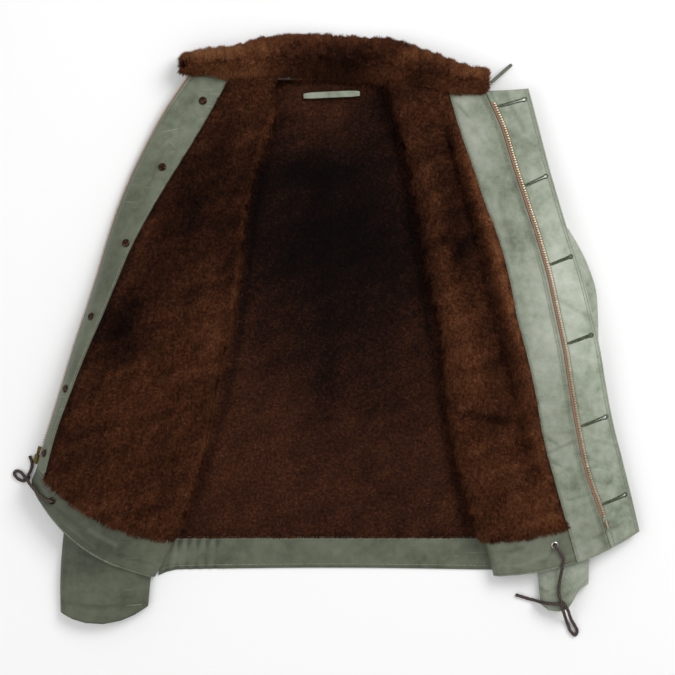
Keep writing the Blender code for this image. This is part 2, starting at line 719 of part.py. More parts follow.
def back_band():
    """Double leather along the back hem, puckered by the drawcord at its -X end."""
    steps_per_gather = 3
    left_end = -straight(SIDE_LINE, SIDE_COLUMNS, "right_x", BAND_ROW)
    right_end = straight(SIDE_LINE, SIDE_COLUMNS, "left_x", BAND_ROW)
    places = [left_end]
    for step in range(GATHERS * steps_per_gather + 1):
        places.append(GATHER_START + (GATHER_END - GATHER_START) * step / (GATHERS * steps_per_gather))
    places += [-0.12, -0.06, 0.0, 0.06, 0.12, right_end]
    hem_left = -straight(SIDE_LINE, SIDE_COLUMNS, "right_x", HEM_ROW)
    hem_right = straight(SIDE_LINE, SIDE_COLUMNS, "left_x", HEM_ROW)
    lower, upper = [], []
    for share in (0.0, 0.5, 1.0):
        low_line, high_line = [], []
        for place in places:
            across = (place - left_end) / (right_end - left_end)
            x = place + share * ((hem_left - left_end) * (1 - across) + (hem_right - right_end) * across)
            hem_bow = 0.003 * math.sin(math.pi * across)
            sag = HEM_SAG * max(0.0, 1 - (place - left_end) / HEM_SAG_REACH) ** 2
            y = BACK_BAND_TOP - TRIM + (BACK_BAND_HEM + hem_bow - sag - BACK_BAND_TOP) * share
            pucker = 0.0
            if GATHER_START <= place <= GATHER_END:
                turn = (place - GATHER_START) / (GATHER_END - GATHER_START) * GATHERS
                pucker = GATHER_DEPTH * (0.5 - 0.5 * math.cos(2 * math.pi * turn))
            low_line.append(Vector((x - ORIGIN_X, y - ORIGIN_Y, 0.0)))
            high_line.append(Vector((x - ORIGIN_X, y - ORIGIN_Y, BAND - pucker)))
        lower.append(low_line)
        upper.append(high_line)
    pad("hem_band_back", lower, upper, "leather")


# ---------------------------------------------------------------- fronts


def front_sections(row):
    sections = [
        ("lower", row.lower_leg()),
        ("fold", row.fold_turn()),
        ("pile", [row.pile_point(share) for share in PILE_STEPS]),
        ("facing", [row.facing_point(share) for share in FACING_STEPS[row.side]]),
    ]
    if row.side == "r":
        sections.append(("tape", [row.tape_point(share) for share in (0.62, 1.0)]))
    return sections


def flap_sections(row):
    return [("flap", [row.flap_point(share) for share in FLAP_STEPS])]


def pile_heights(rows, columns, fold_span):
    """Fur thickness at each point: pressed below the fold, full above it, short at its borders."""
    result = []
    for i in range(rows):
        line = []
        for j in range(columns):
            if j <= fold_span[0]:
                height = PRESSED_PILE
            elif j == fold_span[0] + 1:
                height = (PRESSED_PILE + PILE) / 2
            else:
                height = PILE
            if j in (0, columns - 1) or i in (0, rows - 1):
                height *= 0.7
            line.append(height)
        result.append(line)
    return result


def front(side):
    grid, spans = base_rows(side, ROWS, front_sections)
    normals = lining_normals_of(grid, side)
    every_row = (0, len(grid))
    edge = spans["facing"][1]

    shell = part_of(grid, every_row, (0, edge))
    wall(f"front_shell_{side}", trimmed(shell, bottom=TRIM, end=TRIM), LEATHER, "leather")

    lining_span = (spans["lower"][1] - 2, spans["pile"][1])
    fold_span = (spans["fold"][0] - lining_span[0], spans["fold"][1] - lining_span[0])
    skin = LEATHER / 2 + SEAM_GAP
    base = trimmed(part_of(grid, every_row, lining_span), bottom=TRIM, end=TRIM)
    lining_normals = part_of(normals, every_row, lining_span)
    lower = moved_out(base, lining_normals, skin)
    heights = pile_heights(len(base), len(base[0]), fold_span)
    upper = [
        [point + normal * (skin + height) for point, normal, height in zip(*lines)]
        for lines in zip(base, lining_normals, heights)
    ]
    pad(f"lining_front_{side}", lower, upper, "fur")

    middle = LEATHER + SEAM_GAP
    facing_rows = ROWS if side == "r" else ROWS + BAND_ROWS[1:]
    facing_grid, facing_spans = base_rows(side, facing_rows, front_sections)
    facing_normals = lining_normals_of(facing_grid, side)
    facing_span = (facing_spans["pile"][1] - 1, facing_spans["facing"][1])
    whole = (0, len(facing_grid))
    strip = part_of(facing_grid, whole, facing_span)
    strip_normals = part_of(facing_normals, whole, facing_span)
    for column, across in enumerate((0,) + FACING_STEPS[side]):
        fall = FACING_SLANT * (1 - across) / ROWS[1]
        strip[0][column] = strip[0][column].lerp(strip[1][column], fall)
    if side == "l":
        # over the hem band the facing lies on double leather
        lifted = [middle if at < BAND_ROW else middle + (BAND - LEATHER) / 2 for at in facing_rows]
        strip = [
            [point + normal * lift for point, normal in zip(line, line_normals)]
            for line, line_normals, lift in zip(strip, strip_normals, lifted)
        ]
    else:
        strip = moved_out(strip, strip_normals, middle)
    bottom = TRIM if side == "r" else 0.0
    wall(f"facing_{side}", trimmed(strip, bottom=bottom, start=TRIM, end=TRIM), LEATHER, "leather")
    return grid, spans


def front_band(side):
    """Hem band of a front: it rises from the side seam and follows the front's form to its edge."""
    grid = []
    for at in BAND_ROWS:
        row = FrontRow(side, at)
        share = at - BAND_ROW
        first, last = BAND_STARTS[side]
        start = first * (1 - share) + last * share
        foot = row.across(start, 0.0)
        rise = row.pile_point(PILE_STEPS[1]).z
        line = [
            Vector((foot.x, foot.y, BAND + 0.0012)),
            Vector((foot.x, foot.y, 0.55 * rise)),
        ]
        line.append(row.across(start + 0.007, 0.86 * rise))
        line += [row.pile_point(step) for step in PILE_STEPS[1:]]
        line += [row.facing_point(step) for step in FACING_STEPS[side]]
        grid.append(line)
    wall(f"hem_band_front_{side}", trimmed(grid, top=BAND_TRIM, end=TRIM), BAND, "leather")


def slanted(at, share):
    """Row of the flap at a share of its width: buttonholes fall a little from its edge to the zip."""
    places = [0.0] + [row for row, _ in HOLES] + [HEM_ROW]
    slants = [0.0] + [slant for _, slant in HOLES] + [0.0]
    low = max(index for index in range(len(places) - 1) if places[index] <= at)
    part = (at - places[low]) / (places[low + 1] - places[low])
    return at + (slants[low] * (1 - part) + slants[low + 1] * part) * (0.5 - share)


def wind_flap():
    """Double leather past the left front's zip, with a slot for each button."""
    slots = [row for row, _ in HOLES]
    main_rows = ROWS + BAND_ROWS[1:]
    main_grid, _ = base_rows("l", main_rows, flap_sections)
    cuts = [at + shift for at in slots for shift in (-HOLE_HALF_ROW, HOLE_HALF_ROW)]
    clear = [at for at in main_rows if all(abs(at - slot) > 1.3 * HOLE_HALF_ROW for slot in slots)]
    rows = sorted(clear + cuts)
    grid = []
    for at in rows:
        line = []
        for column, step in enumerate(FLAP_STEPS):
            place = slanted(at, step) if column else at
            low = max(index for index in range(len(main_rows) - 1) if main_rows[index] <= place)
            share = (place - main_rows[low]) / (main_rows[low + 1] - main_rows[low])
            line.append(main_grid[low][column].lerp(main_grid[low + 1][column], share))
        grid.append(line)
    first_column = FLAP_STEPS.index(FLAP_HOLE_START)
    last_column = FLAP_STEPS.index(FLAP_HOLE_END)
    skip = set()
    for at in slots:
        row = rows.index(at - HOLE_HALF_ROW)
        skip |= {(row, column) for column in range(first_column, last_column)}
    wall("wind_flap", trimmed(grid, start=TRIM), BAND, "leather", skip=skip)


def zip_halves(right_grid, right_spans):
    """Each half is a strip of tape and the row of teeth on its edge."""
    tape = right_spans["tape"]
    last = [at for at in ROWS if at <= 10.5]
    rows = (0, len(last))
    first_half = part_of(right_grid, rows, (tape[0] - 1, tape[0] + 1))
    wall("zip_tape_r", trimmed(first_half, start=SEAM_GAP, end=TRIM), TAPE, "tape")
    teeth = part_of(right_grid, rows, (tape[0], tape[1]))
    wall("zip_chain_r", trimmed(teeth, start=TRIM), CHAIN_HEIGHT, "brass")

    tape_grid, chain_grid = [], []
    for at in LEFT_ZIP_ROWS:
        row = FrontRow("l", at)
        lift = BAND / 2 + SEAM_GAP
        places = (0.0006, ZIP_SEAM_WIDTH, ZIP_SEAM_WIDTH + SEAM_GAP, ZIP_SEAM_WIDTH + CHAIN_WIDTH)
        points = [row.flap_point(place / row.value["flap"]) for place in places]
        up = Vector((0, 0, 1))
        tape_grid.append([point + up * (lift + TAPE / 2 + 0.0002) for point in points[:2]])
        chain_grid.append([point + up * (lift + CHAIN_HEIGHT / 2 + 0.0002) for point in points[2:]])
    wall("zip_tape_l", tape_grid, TAPE, "tape")
    wall("zip_chain_l", chain_grid, CHAIN_HEIGHT, "brass")


def surface_frame(side, at, point_on):
    """Place on a front whose Z points to the lining's side and whose X runs to the hem."""
    step = 0.05
    row = FrontRow(side, at)
    point = point_on(row, 0.0)
    along = point_on(FrontRow(side, at + step), 0.0) - point_on(FrontRow(side, at - step), 0.0)
    over = point_on(row, step) - point_on(row, -step)
    normal = along.cross(over).normalized()
    if normal.z < 0:
        normal = -normal
    return point, normal, along.normalized()


def buttons():
    """On the right front: the button under the shell and its stud on the facing, on one axis."""
    for index, (at, across) in enumerate(BUTTON_PLACES):
        point, normal, along = surface_frame("r", at, lambda row, shift: row.facing_point(across + shift))
        stud_lift = LEATHER / 2 + 2 * SEAM_GAP + LEATHER + 0.0003
        stud = [
            (0, STUD_HEIGHT), (0.5 * STUD_RADIUS, 0.9 * STUD_HEIGHT), (0.85 * STUD_RADIUS, 0.7 * STUD_HEIGHT),
            (STUD_RADIUS, 0.25 * STUD_HEIGHT), (STUD_RADIUS, 0), (0, 0),
        ]
        place = frame_on(point + normal * stud_lift, normal, along)
        turned(f"button_stud_{index + 1}", stud, 12, "dark_metal", place)
        head = [
            (0, BUTTON_HEIGHT), (0.55 * BUTTON_RADIUS, BUTTON_HEIGHT), (BUTTON_RADIUS, 0.55 * BUTTON_HEIGHT),
            (BUTTON_RADIUS, 0), (0, 0),
        ]
        under = frame_on(point - normal * (LEATHER / 2 + BUTTON_SHANK), -normal, along)
        turned(f"button_{index + 1}", head, 12, "dark_metal", under)


def slider_and_pull():
    """The zip's slider at the foot of the right half, and its pull tab on a bar across the slider."""
    row = FrontRow("r", SLIDER_ROW)
    centre = row.placed(row.edge + row.out * 0.0062, 0.0)
    above = FrontRow("r", SLIDER_ROW - 0.5)
    along = above.placed(above.edge + above.out * 0.0062, 0.0) - centre
    along = along.normalized()
    size = Vector((0.0125, 0.0080, 0.0040))
    height = 0.0055
    up = Vector((0, 0, 1))
    place = frame_on(centre + up * height, up, along)
    block("zip_slider", size, 0.0010, "brass", place)
    bar = Vector((0.0018, 0.0030, 0.0016))
    bar_centre = centre + up * (height + size.z / 2 + bar.z / 2 + SEAM_GAP) + along * 0.0030
    tab_size = Vector((0.0150, 0.0056, 0.0012))
    tab_centre = bar_centre + along * (tab_size.x / 2 + 0.0004)
    tab = block("pull_tab", tab_size, 0.0004, "brass", frame_on(tab_centre, up, along))
    axis = bpy.data.objects.new("pull_axis", None)
    axis.matrix_world = frame_on(bar_centre, up, along)
    jacket.objects.link(axis)
    bpy.context.view_layer.update()
    tab.parent = axis
    tab.matrix_parent_inverse = axis.matrix_world.inverted()
    bar_way = up.cross(along)
    print("pull axis", [round(value, 5) for value in bar_centre], [round(value, 5) for value in bar_way])


def zip_pin():
    row = FrontRow("l", PIN_ROW)
    place = (ZIP_SEAM_WIDTH + 0.5 * CHAIN_WIDTH) / row.value["flap"]
    point, normal, along = surface_frame("l", PIN_ROW, lambda line, shift: line.flap_point(place + shift))
    lift = BAND / 2 + SEAM_GAP + 0.0016
    place = frame_on(point + normal * lift, normal, along)
    block("zip_pin", Vector((0.0120, 0.0026, 0.0024)), 0.0005, "brass", place)


# ---------------------------------------------------------------- sleeves


def cuff_bow(side, across):
    table = CUFF_BOWS[side]
    low = max(index for index in range(len(table) - 1) if table[index][0] <= across)
    (start, first), (end, last) = table[low], table[low + 1]
    return first + (last - first) * (across - start) / (end - start)


def sleeve(side):
    """Flattened tube with its lining pressed to a slit, open at the cuff."""
    table = SLEEVES[side]
    outer_rings, inner_rings = [], []
    for at in range(len(table)):
        value = {name: table[at][index] for index, name in enumerate(SLEEVE_COLUMNS)}
        inner = Vector((value["inner_x"], value["inner_y"]))
        outer = Vector((value["outer_x"], value["outer_y"]))
        height = value["height"]
        outer_ring, inner_ring = [], []
        for across, up in SLEEVE_SECTION:
            bowed = cuff_bow(side, across) * value["bow"]
            plan = inner + (outer - inner) * across
            outer_ring.append(
                Vector((SIGN[side] * plan.x - ORIGIN_X, plan.y - bowed - ORIGIN_Y, height * up))
            )
            share = SLIT_MARGIN + (1 - 2 * SLIT_MARGIN) * across
            bowed = cuff_bow(side, share) * value["bow"]
            plan = inner + (outer - inner) * share
            level = 0.45 * height + SLIT_HEIGHT * (up - 0.5)
            inner_ring.append(Vector((SIGN[side] * plan.x - ORIGIN_X, plan.y - bowed - ORIGIN_Y, level)))
        outer_rings.append(outer_ring)
        inner_rings.append(inner_ring)
    rings = outer_rings + list(reversed(inner_rings[SLIT_FIRST_RING:]))
    loft(f"sleeve_{side}", rings, "leather")


# ---------------------------------------------------------------- collar


def collar():
    under, rings = [], []
    last = len(COLLAR) - 1
    for index, values in enumerate(COLLAR):
        value = dict(zip(COLLAR_COLUMNS, values))
        depth = value["free_y"] - value["seam_y"]
        line = []
        for across in (0.0, 0.5, 0.99):
            height = value["lift"] * (1 - COLLAR_DROOP * across**1.5)
            y = value["seam_y"] + depth * across
            line.append(Vector((value["x"] - ORIGIN_X, y - ORIGIN_Y, height + LEATHER / 2)))
        under.append(line)
        pile = COLLAR_PILE
        if index in (0, last):
            pile *= COLLAR_END_PILE
        if index in (1, last - 1):
            pile *= 0.9
        ring = []
        for across, up in COLLAR_SECTION:
            base = value["lift"] * (1 - COLLAR_DROOP * max(across, 0) ** 1.5) + LEATHER + COLLAR_GAP
            y = value["seam_y"] + depth * max(across, 0.0) - ORIGIN_Y
            ring.append(Vector((value["x"] - ORIGIN_X, y, base + pile * up)))
        rings.append(ring)
    wall("under_collar", under, LEATHER, "leather")
    loft("collar_fur", rings, "fur")


# ---------------------------------------------------------------- cords and small leather


def eyelet_and_cord(side):
    place = EYELET_PLACE[side]

    def on_band(row, shift):
        distance = row.length * (place + shift)
        share = (distance - FOLD_REACH) / (row.facing_start() - FOLD_REACH)
        if share <= 1:
            return row.pile_point(share)
        return row.facing_point((distance - row.facing_start()) / row.value["facing"])

    point, normal, along = surface_frame(side, EYELET_ROW[side], on_band)
    ring_foot = point + normal * (BAND / 2 + EYELET_LIFT)
    ring = [
        (EYELET_HOLE, EYELET_HEIGHT), (0.7 * EYELET_RADIUS, EYELET_HEIGHT),
        (EYELET_RADIUS, 0.3 * EYELET_HEIGHT), (EYELET_RADIUS, 0), (EYELET_HOLE, 0), (EYELET_HOLE, EYELET_HEIGHT),
    ]
    turned(f"eyelet_{side}", ring, 16, "dark_metal", frame_on(ring_foot, normal, along))
    start = ring_foot + normal * 0.0004
    rises = [ring_foot + normal * height for height in (0.0020, 0.0042)]
    knot = settled([CORD_KNOTS[side]])[0]
    lead = smooth_route([rises[-1]] + settled(CORD_LEADS[side]), CORD_SPACING)
    tube(f"cord_{side}", [start, rises[0]] + lead, CORD / 2, "cord")
    tube(f"cord_loop_{side}", smooth_route(settled(CORD_LOOPS[side]), CORD_SPACING), CORD / 2, "cord")
    tube(f"cord_end_{side}", smooth_route(settled(CORD_TAILS[side]), CORD_SPACING), CORD / 2, "cord")
    shape = bmesh.new()
    bmesh.ops.create_icosphere(shape, subdivisions=1, radius=KNOT_RADIUS)
    mesh = bpy.data.meshes.new(f"cord_knot_{side}")
    shape.to_mesh(mesh)
    shape.free()
    thing = add_object(f"cord_knot_{side}", mesh, "cord")
    thing.location = knot
    print("cord exit", side, [round(value, 5) for value in start])


def ribbon(name, path, width, finish, sideways):
    half = sideways * (width / 2)
    grid = [[point - half, point, point + half] for point in path]
    wall(name, grid, LEATHER, finish)


def small_leather():
    path = []
    for x, arch in HANGER:
        y = HANGER_Y + HANGER_TILT * x
        path.append(Vector((x - ORIGIN_X, y - ORIGIN_Y, BACK_TOP + LEATHER / 2 + SEAM_GAP + arch)))
    ribbon("hanger_loop", path, HANGER_WIDTH, "leather", Vector((0, 1, 0)))
    route = settled(STRAP_PATH)
    run = route[-1] - route[0]
    sideways = Vector((-run.y, run.x, 0)).normalized()
    ribbon("throat_strap", route, STRAP_WIDTH, "leather", sideways)


# ---------------------------------------------------------------- the jacket

clear_scene()
jacket = new_collection("deck_jacket")

back_shell()
back_lining()
back_band()
right_grid, right_spans = front("r")
front("l")
front_band("r")
front_band("l")
wind_flap()
zip_halves(right_grid, right_spans)
buttons()
slider_and_pull()
zip_pin()
for sleeve_side in ("r", "l"):
    sleeve(sleeve_side)
collar()
for cord_side in ("r", "l"):
    eyelet_and_cord(cord_side)
small_leather()
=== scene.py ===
"""The looks of a fur-lined leather deck jacket that lies open on its back, inside up.

Metres, +Z up, collar to +Y. The suffix r is the wearer's right front, on the -X side, and l the left.
The tables and the front's rows are those of the solids, read here on a finer grid.
"""

import functools
import math

import bpy
import numpy as np
from mathutils import Matrix, Vector
from mathutils.bvhtree import BVHTree


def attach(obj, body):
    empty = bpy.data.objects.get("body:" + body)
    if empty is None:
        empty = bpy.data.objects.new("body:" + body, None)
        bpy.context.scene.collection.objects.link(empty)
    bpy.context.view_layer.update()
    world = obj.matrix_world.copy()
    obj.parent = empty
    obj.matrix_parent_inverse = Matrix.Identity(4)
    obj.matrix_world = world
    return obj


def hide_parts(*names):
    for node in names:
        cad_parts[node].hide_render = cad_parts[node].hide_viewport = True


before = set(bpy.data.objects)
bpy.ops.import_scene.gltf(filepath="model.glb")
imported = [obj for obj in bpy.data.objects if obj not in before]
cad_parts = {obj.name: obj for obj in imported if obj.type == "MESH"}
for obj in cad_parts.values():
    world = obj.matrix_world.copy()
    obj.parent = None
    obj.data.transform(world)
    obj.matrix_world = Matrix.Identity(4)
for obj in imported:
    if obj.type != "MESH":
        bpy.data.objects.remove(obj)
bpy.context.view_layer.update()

# ---- sizes of the solids, in metres


def metres(table):
    """A table that is written in millimetres, in metres."""
    if isinstance(table, dict):
        return {key: metres(value) for key, value in table.items()}
    return tuple(metres(value) for value in table) if isinstance(table, tuple) else round(table / 1000, 6)


LEATHER = 0.0016
BAND = 0.0032
TAPE = 0.0010
PELT = 0.0010  # the lining's skin
PILE = 0.0090
PRESSED_PILE = 0.0060
COLLAR_PILE = 0.0170
PAD_SHARE = 0.52  # the dense fur stands to this share of the pile, and the locks above it
LUMP = 0.0006  # the dense fur's soft lumps
SEAM_GAP = 0.0003
TRIM = 0.0002
BAND_TRIM = 0.0008
BACK_TOP = LEATHER + SEAM_GAP + PILE
SEAM_FOOT = LEATHER + SEAM_GAP
LOWER_LEG = BACK_TOP + 2 * SEAM_GAP + PRESSED_PILE + LEATHER / 2
FOLD_RADIUS = 0.0026
UPPER_LEG = LOWER_LEG + 2 * FOLD_RADIUS
FOLD_REACH = FOLD_RADIUS + LEATHER / 2 + SEAM_GAP + PILE
ORIGIN_X = -0.0030
ORIGIN_Y = 0.0120
HEM_ROW = 12.0
BAND_ROW = 11.0
ROW_LENGTH = 0.0515  # from one row to the next, about
FACING_WIDTH = 0.0560

SIDE_COLUMNS = ("y", "right_x", "left_x")
SIDE_LINE = metres((
    (353.5, 108, 90), (322, 152, 140), (290, 200, 190), (258, 238.6, 230), (195, 213, 203),
    (135, 205, 195), (80, 211, 200), (35, 226, 214), (-50, 224, 212), (-130, 228, 213), (-200, 234, 215),
    (-273, 240.5, 217.5), (-319, 245.5, 220.5),
))
FRONT_COLUMNS = (
    "fold_x", "fold_y", "edge_x", "edge_y", "bow", "facing", "flap",
    "crest", "valley", "facing_z", "zip_z", "edge_z",
)
FRONTS = metres({
    "r": (
        (79, 358, 199, 358, 0, 55, 0, 26, 0, 25, 22, 22), (81, 293, 231, 311, 0, 58, 0, 29, 1, 27, 18, 18),
        (101, 238, 255, 269, 0, 56, 0, 32, 2, 30, 14, 14),
        (118, 183, 277, 225, 0, 50, 0, 34, 2, 33, 12, 12),
        (126, 126, 296, 180, 0, 43, 0, 37, 1, 36, 10, 10), (132, 68, 312, 133, 0, 35, 0, 39, 0, 39, 9, 9),
        (144, 10, 326, 86, 0, 30, 0, 42, 1, 42, 9, 9), (157, -47, 341, 39, 0, 26, 0, 43, 2, 44, 9, 9),
        (169, -104, 357, -8, 3, 22, 0, 42, 2, 45, 9, 9), (179, -162, 373, -60, 8, 18, 0, 43, 1, 45, 9, 9),
        (196, -218, 391, -118, 14, 15, 0, 40, 1, 43, 9, 9),
        (216, -277, 409, -174, 22, 19, 0, 38, 0, 38, 9, 9),
        (250, -327, 418, -197, 27, 30, 0, 34, 0, 33, 9, 9),
    ),
    "l": (
        (60, 351.5, 260, 339, 8.5, 50, 60, 26, 1, 27, 27, 26),
        (76, 293, 273, 289, 6, 58, 51, 29, 3, 30, 29, 27),
        (93, 238, 286, 238, 4, 56, 49, 32, 5, 34, 32, 28),
        (103, 181, 300, 188, 2, 55, 47, 34, 6, 37, 35, 30),
        (113, 124, 315, 138, 0, 52, 46, 36, 6, 40, 37, 32),
        (123, 68, 331, 89, 0, 52, 48, 39, 6, 42, 39, 33), (137, 12, 344, 39, 0, 53, 50, 40, 5, 43, 39, 32),
        (143, -46, 356, -12, 0, 50, 51, 39, 5, 42, 38, 30),
        (149, -103, 365, -63, 0, 47, 52, 40, 6, 41, 36, 26),
        (158, -160, 375, -114, 4, 47, 53, 37, 8, 38, 34, 22),
        (172, -217, 388, -164, 10, 44, 55, 38, 4, 37, 31, 18),
        (190, -277, 401, -215, 14, 48, 50, 34, 2, 34, 28, 15),
        (210, -326, 413, -265, 14, 49, 47, 30, 0, 30, 25, 13),
    ),
})
SIGN = {"r": -1, "l": 1}
DROOP = {"r": math.radians(75), "l": math.radians(35)}

FACING_SLANT = 0.20  # the facings' upper edges fall by this many rows to the fur
BAND_STARTS = {"r": (0.008, 0.001), "l": (0.0125, 0.0050)}
# A button has its row and its share of the facing's width, a hole its row and how many rows it falls
BUTTON_PLACES = ((0.72, 0.24), (2.69, 0.26), (4.93, 0.18), (7.13, 0.40), (9.07, 0.32), (10.55, 0.38))
HOLES = ((0.43, 0.21), (2.48, 0.34), (4.65, 0.26), (6.74, 0.19), (8.87, 0.10), (10.87, -0.10))
BUTTON_RADIUS = 0.0080
BUTTON_HEIGHT = 0.0030
BUTTON_SHANK = 0.0036
STUD_RADIUS = 0.0055
STUD_HEIGHT = 0.0020
HOLE_HALF_ROW = 0.033
FLAP_HOLE_START = 0.20
FLAP_HOLE_END = 0.87
CHAIN_HEIGHT = 0.0026
ZIP_SEAM_WIDTH = 0.0032
CHAIN_WIDTH = 0.0030
LEFT_ZIP = (0.40, 11.14)
PIN_ROW = 11.31
TAPE_REACH_TOP = 0.0056
TAPE_REACH_HEM = 0.0045
SLIDER_ROW = 10.9

SLEEVE_COLUMNS = ("inner_x", "inner_y", "outer_x", "outer_y", "height", "bow")
SLEEVES = metres({
    "r": (
        (241, 253, 256, 250, 12, 0), (215, 195, 272, 203, 22, 0), (207, 135, 290, 140, 28, 0),
        (213, 80, 303, 84, 31, 0), (228, 35, 318, 37, 34, 0), (226.5, -50, 345, -48, 36, 0),
        (231, -130, 357, -125, 35, 0), (238, -200, 366, -195, 32, 2), (248, -264, 374, -258, 28, 6),
        (256, -327, 379.5, -325, 24, 13), (259.8, -368, 379.5, -376, 21, 19),
    ),
    "l": (
        (232.5, 253, 246, 250, 12, 0), (205, 195, 268, 203, 22, 0), (197, 135, 318, 146, 26, 0),
        (202, 80, 349.5, 80, 28, 0), (216, 35, 356.5, 30, 29, 0), (215, -50, 356, -45, 29, 0),
        (225, -130, 352, -120, 28, 0), (245, -200, 348, -190, 26, 0), (263, -264, 346.5, -255, 24, 2),
        (275, -327, 345, -305, 23, 11), (278.5, -365.5, 344, -337, 20, 20.5),
    ),
})
# How far a cuff dips towards the hem, over its width
CUFF_BOWS = {
    "r": ((0.0, 0.0), (0.15, 0.51), (0.3, 0.84), (0.5, 1.0), (0.7, 0.84), (0.85, 0.51), (1.0, 0.0)),
    "l": (
        (0.0, 0.0), (0.15, 0.55), (0.35, 0.9), (0.54, 1.0), (0.65, 0.66), (0.75, 0.2), (0.85, 0.0), (1.0, 0.0),
    ),
}
SLEEVE_SECTION = (
    (0.50, 0.00), (0.94, 0.00), (1.00, 0.26), (0.985, 0.55), (0.92, 0.80), (0.76, 0.96),
    (0.50, 1.00), (0.24, 0.96), (0.08, 0.80), (0.015, 0.55), (0.00, 0.26), (0.06, 0.00),
)

COLLAR_COLUMNS = ("x", "seam_y", "free_y", "lift")
COLLAR = metres((
    (-212.5, 365, 376, 20), (-206, 361, 385, 21.5), (-192, 359.6, 389.5, 22.5), (-170, 359.2, 392.5, 23.5),
    (-148, 359.2, 395, 23.5), (-126, 359.2, 400.5, 22.5), (-103, 359.2, 408.5, 19), (-78, 359, 414, 13),
    (-45, 357.5, 415, 6), (-10, 356.5, 414, 2.6), (20, 356, 412, 3), (48, 356, 410, 8),
    (70, 354.5, 408, 15), (99, 351, 399, 20.5), (132, 344.5, 387, 23.5), (156, 340.5, 375.5, 24.5),
    (177, 337.5, 368, 24.5), (194, 336.8, 366.5, 23.5), (204, 341, 362, 22.5),
))
COLLAR_SECTION = (
    (0.00, 0.00), (-0.02, 0.45), (0.08, 0.82), (0.34, 1.00), (0.66, 0.97), (0.92, 0.68),
    (1.00, 0.30), (0.99, 0.00), (0.50, 0.00),
)
COLLAR_END_PILE = 0.55
COLLAR_GAP = 0.0032
COLLAR_DROOP = 0.60

GATHERS = 6
GATHER_START = -0.236
GATHER_END = -0.158
GATHER_DEPTH = 0.0015
HEM_SAG = 0.0075
HEM_SAG_REACH = 0.030
BACK_BAND_TOP = -0.2740
BACK_BAND_HEM = -0.3190

CORD = 0.0045
EYELET_ROW = {"r": 11.40, "l": 11.33}
EYELET_PLACE = {"r": 0.81, "l": 0.45}
EYELET_LIFT = 0.0010
EYELET_RADIUS = 0.0050
EYELET_HOLE = 0.0029
EYELET_HEIGHT = 0.0014
CORD_LEADS = metres({
    "r": (
        (-396.5, -219.5, 39), (-402, -215.5, 38.3), (-407, -210.5, 36.6), (-411.5, -206, 34),
        (-416.5, -201.5, 29), (-420.5, -198.8, 20.5), (-423.5, -196.2, 12.5), (-424.9, -194.8, 8.9),
    ),
    "l": (
        (306.1, -299.3, 36.2), (305.5, -307.5, 35.6), (304.5, -315, 34.7), (303.2, -323.5, 31),
        (302.2, -332, 27.2), (301.3, -344, 25.4), (302.2, -353, 24.8), (305.3, -359.8, 24.8),
    ),
})
CORD_KNOTS = metres({"r": (-426.2, -193.2, 4.8), "l": (307.2, -364, 24.8)})
CORD_LOOPS = metres({
    "r": (
        (-430, -196.8, 2.9), (-436.2, -195.6, 2.7), (-442.4, -190.5, 2.7), (-443.8, -185.2, 2.7),
        (-439.5, -183.2, 2.7), (-434, -185.8, 2.9), (-430.5, -190, 3.6),
    ),
    "l": (
        (306.2, -369, 23.6), (308, -373.8, 22.8), (310, -378.5, 15), (313.4, -387, 6), (317, -396, 2.9),
        (320, -403, 2.7), (326.2, -408.8, 2.7), (329.2, -403, 2.7), (325.4, -395, 3.2), (320.6, -387, 7),
        (316.8, -378.5, 15), (314.8, -373.8, 22.8), (312, -368, 23.6),
    ),
})
CORD_TAILS = metres({
    "r": (
        (-424.3, -188.6, 4.5), (-421.5, -183, 3.2), (-419.8, -176.5, 2.8), (-420, -170, 2.8),
        (-422.8, -163, 2.8),
    ),
    "l": (
        (302.6, -363.6, 24.8), (295, -363.1, 23.5), (287, -362.7, 21.5), (280, -362.4, 16.5),
        (274.5, -361.5, 8.5), (269, -360.3, 3.2), (263.2, -359.1, 2.7), (254, -356.2, 2.7),
        (245, -353.5, 2.7),
    ),
})

HANGER = ((-0.0465, 0.0), (-0.0340, 0.0022), (-0.0080, 0.0030), (0.0180, 0.0022), (0.0305, 0.0))
HANGER_Y = 0.3325
HANGER_TILT = 0.045
HANGER_WIDTH = 0.0085
STRAP_PATH = metres((
    (208.5, 346.2, 27), (217, 354, 24), (227, 363.5, 15), (239, 374.5, 6),
))
STRAP_WIDTH = 0.0050

# ---- camera, straight down from above

PIXEL = 0.001375  # of the floor, at the photograph's scale
PICTURE = 675
CAMERA_HEIGHT = 2.578
LENS_MM = 100

camera_data = bpy.data.cameras.new("camera")
camera_data.lens = LENS_MM
camera_data.sensor_width = 36
camera = bpy.data.objects.new("camera", camera_data)
camera.location = (-ORIGIN_X, -ORIGIN_Y, CAMERA_HEIGHT)
bpy.context.scene.collection.objects.link(camera)
bpy.context.scene.camera = camera


def seen(across, down, height=0.03):
    """Where a point of the picture lies in plan, at a height over the floor."""
    scale = PIXEL * (1 - height / CAMERA_HEIGHT)
    return ((across - PICTURE / 2) * scale - ORIGIN_X, (PICTURE / 2 - down) * scale - ORIGIN_Y)
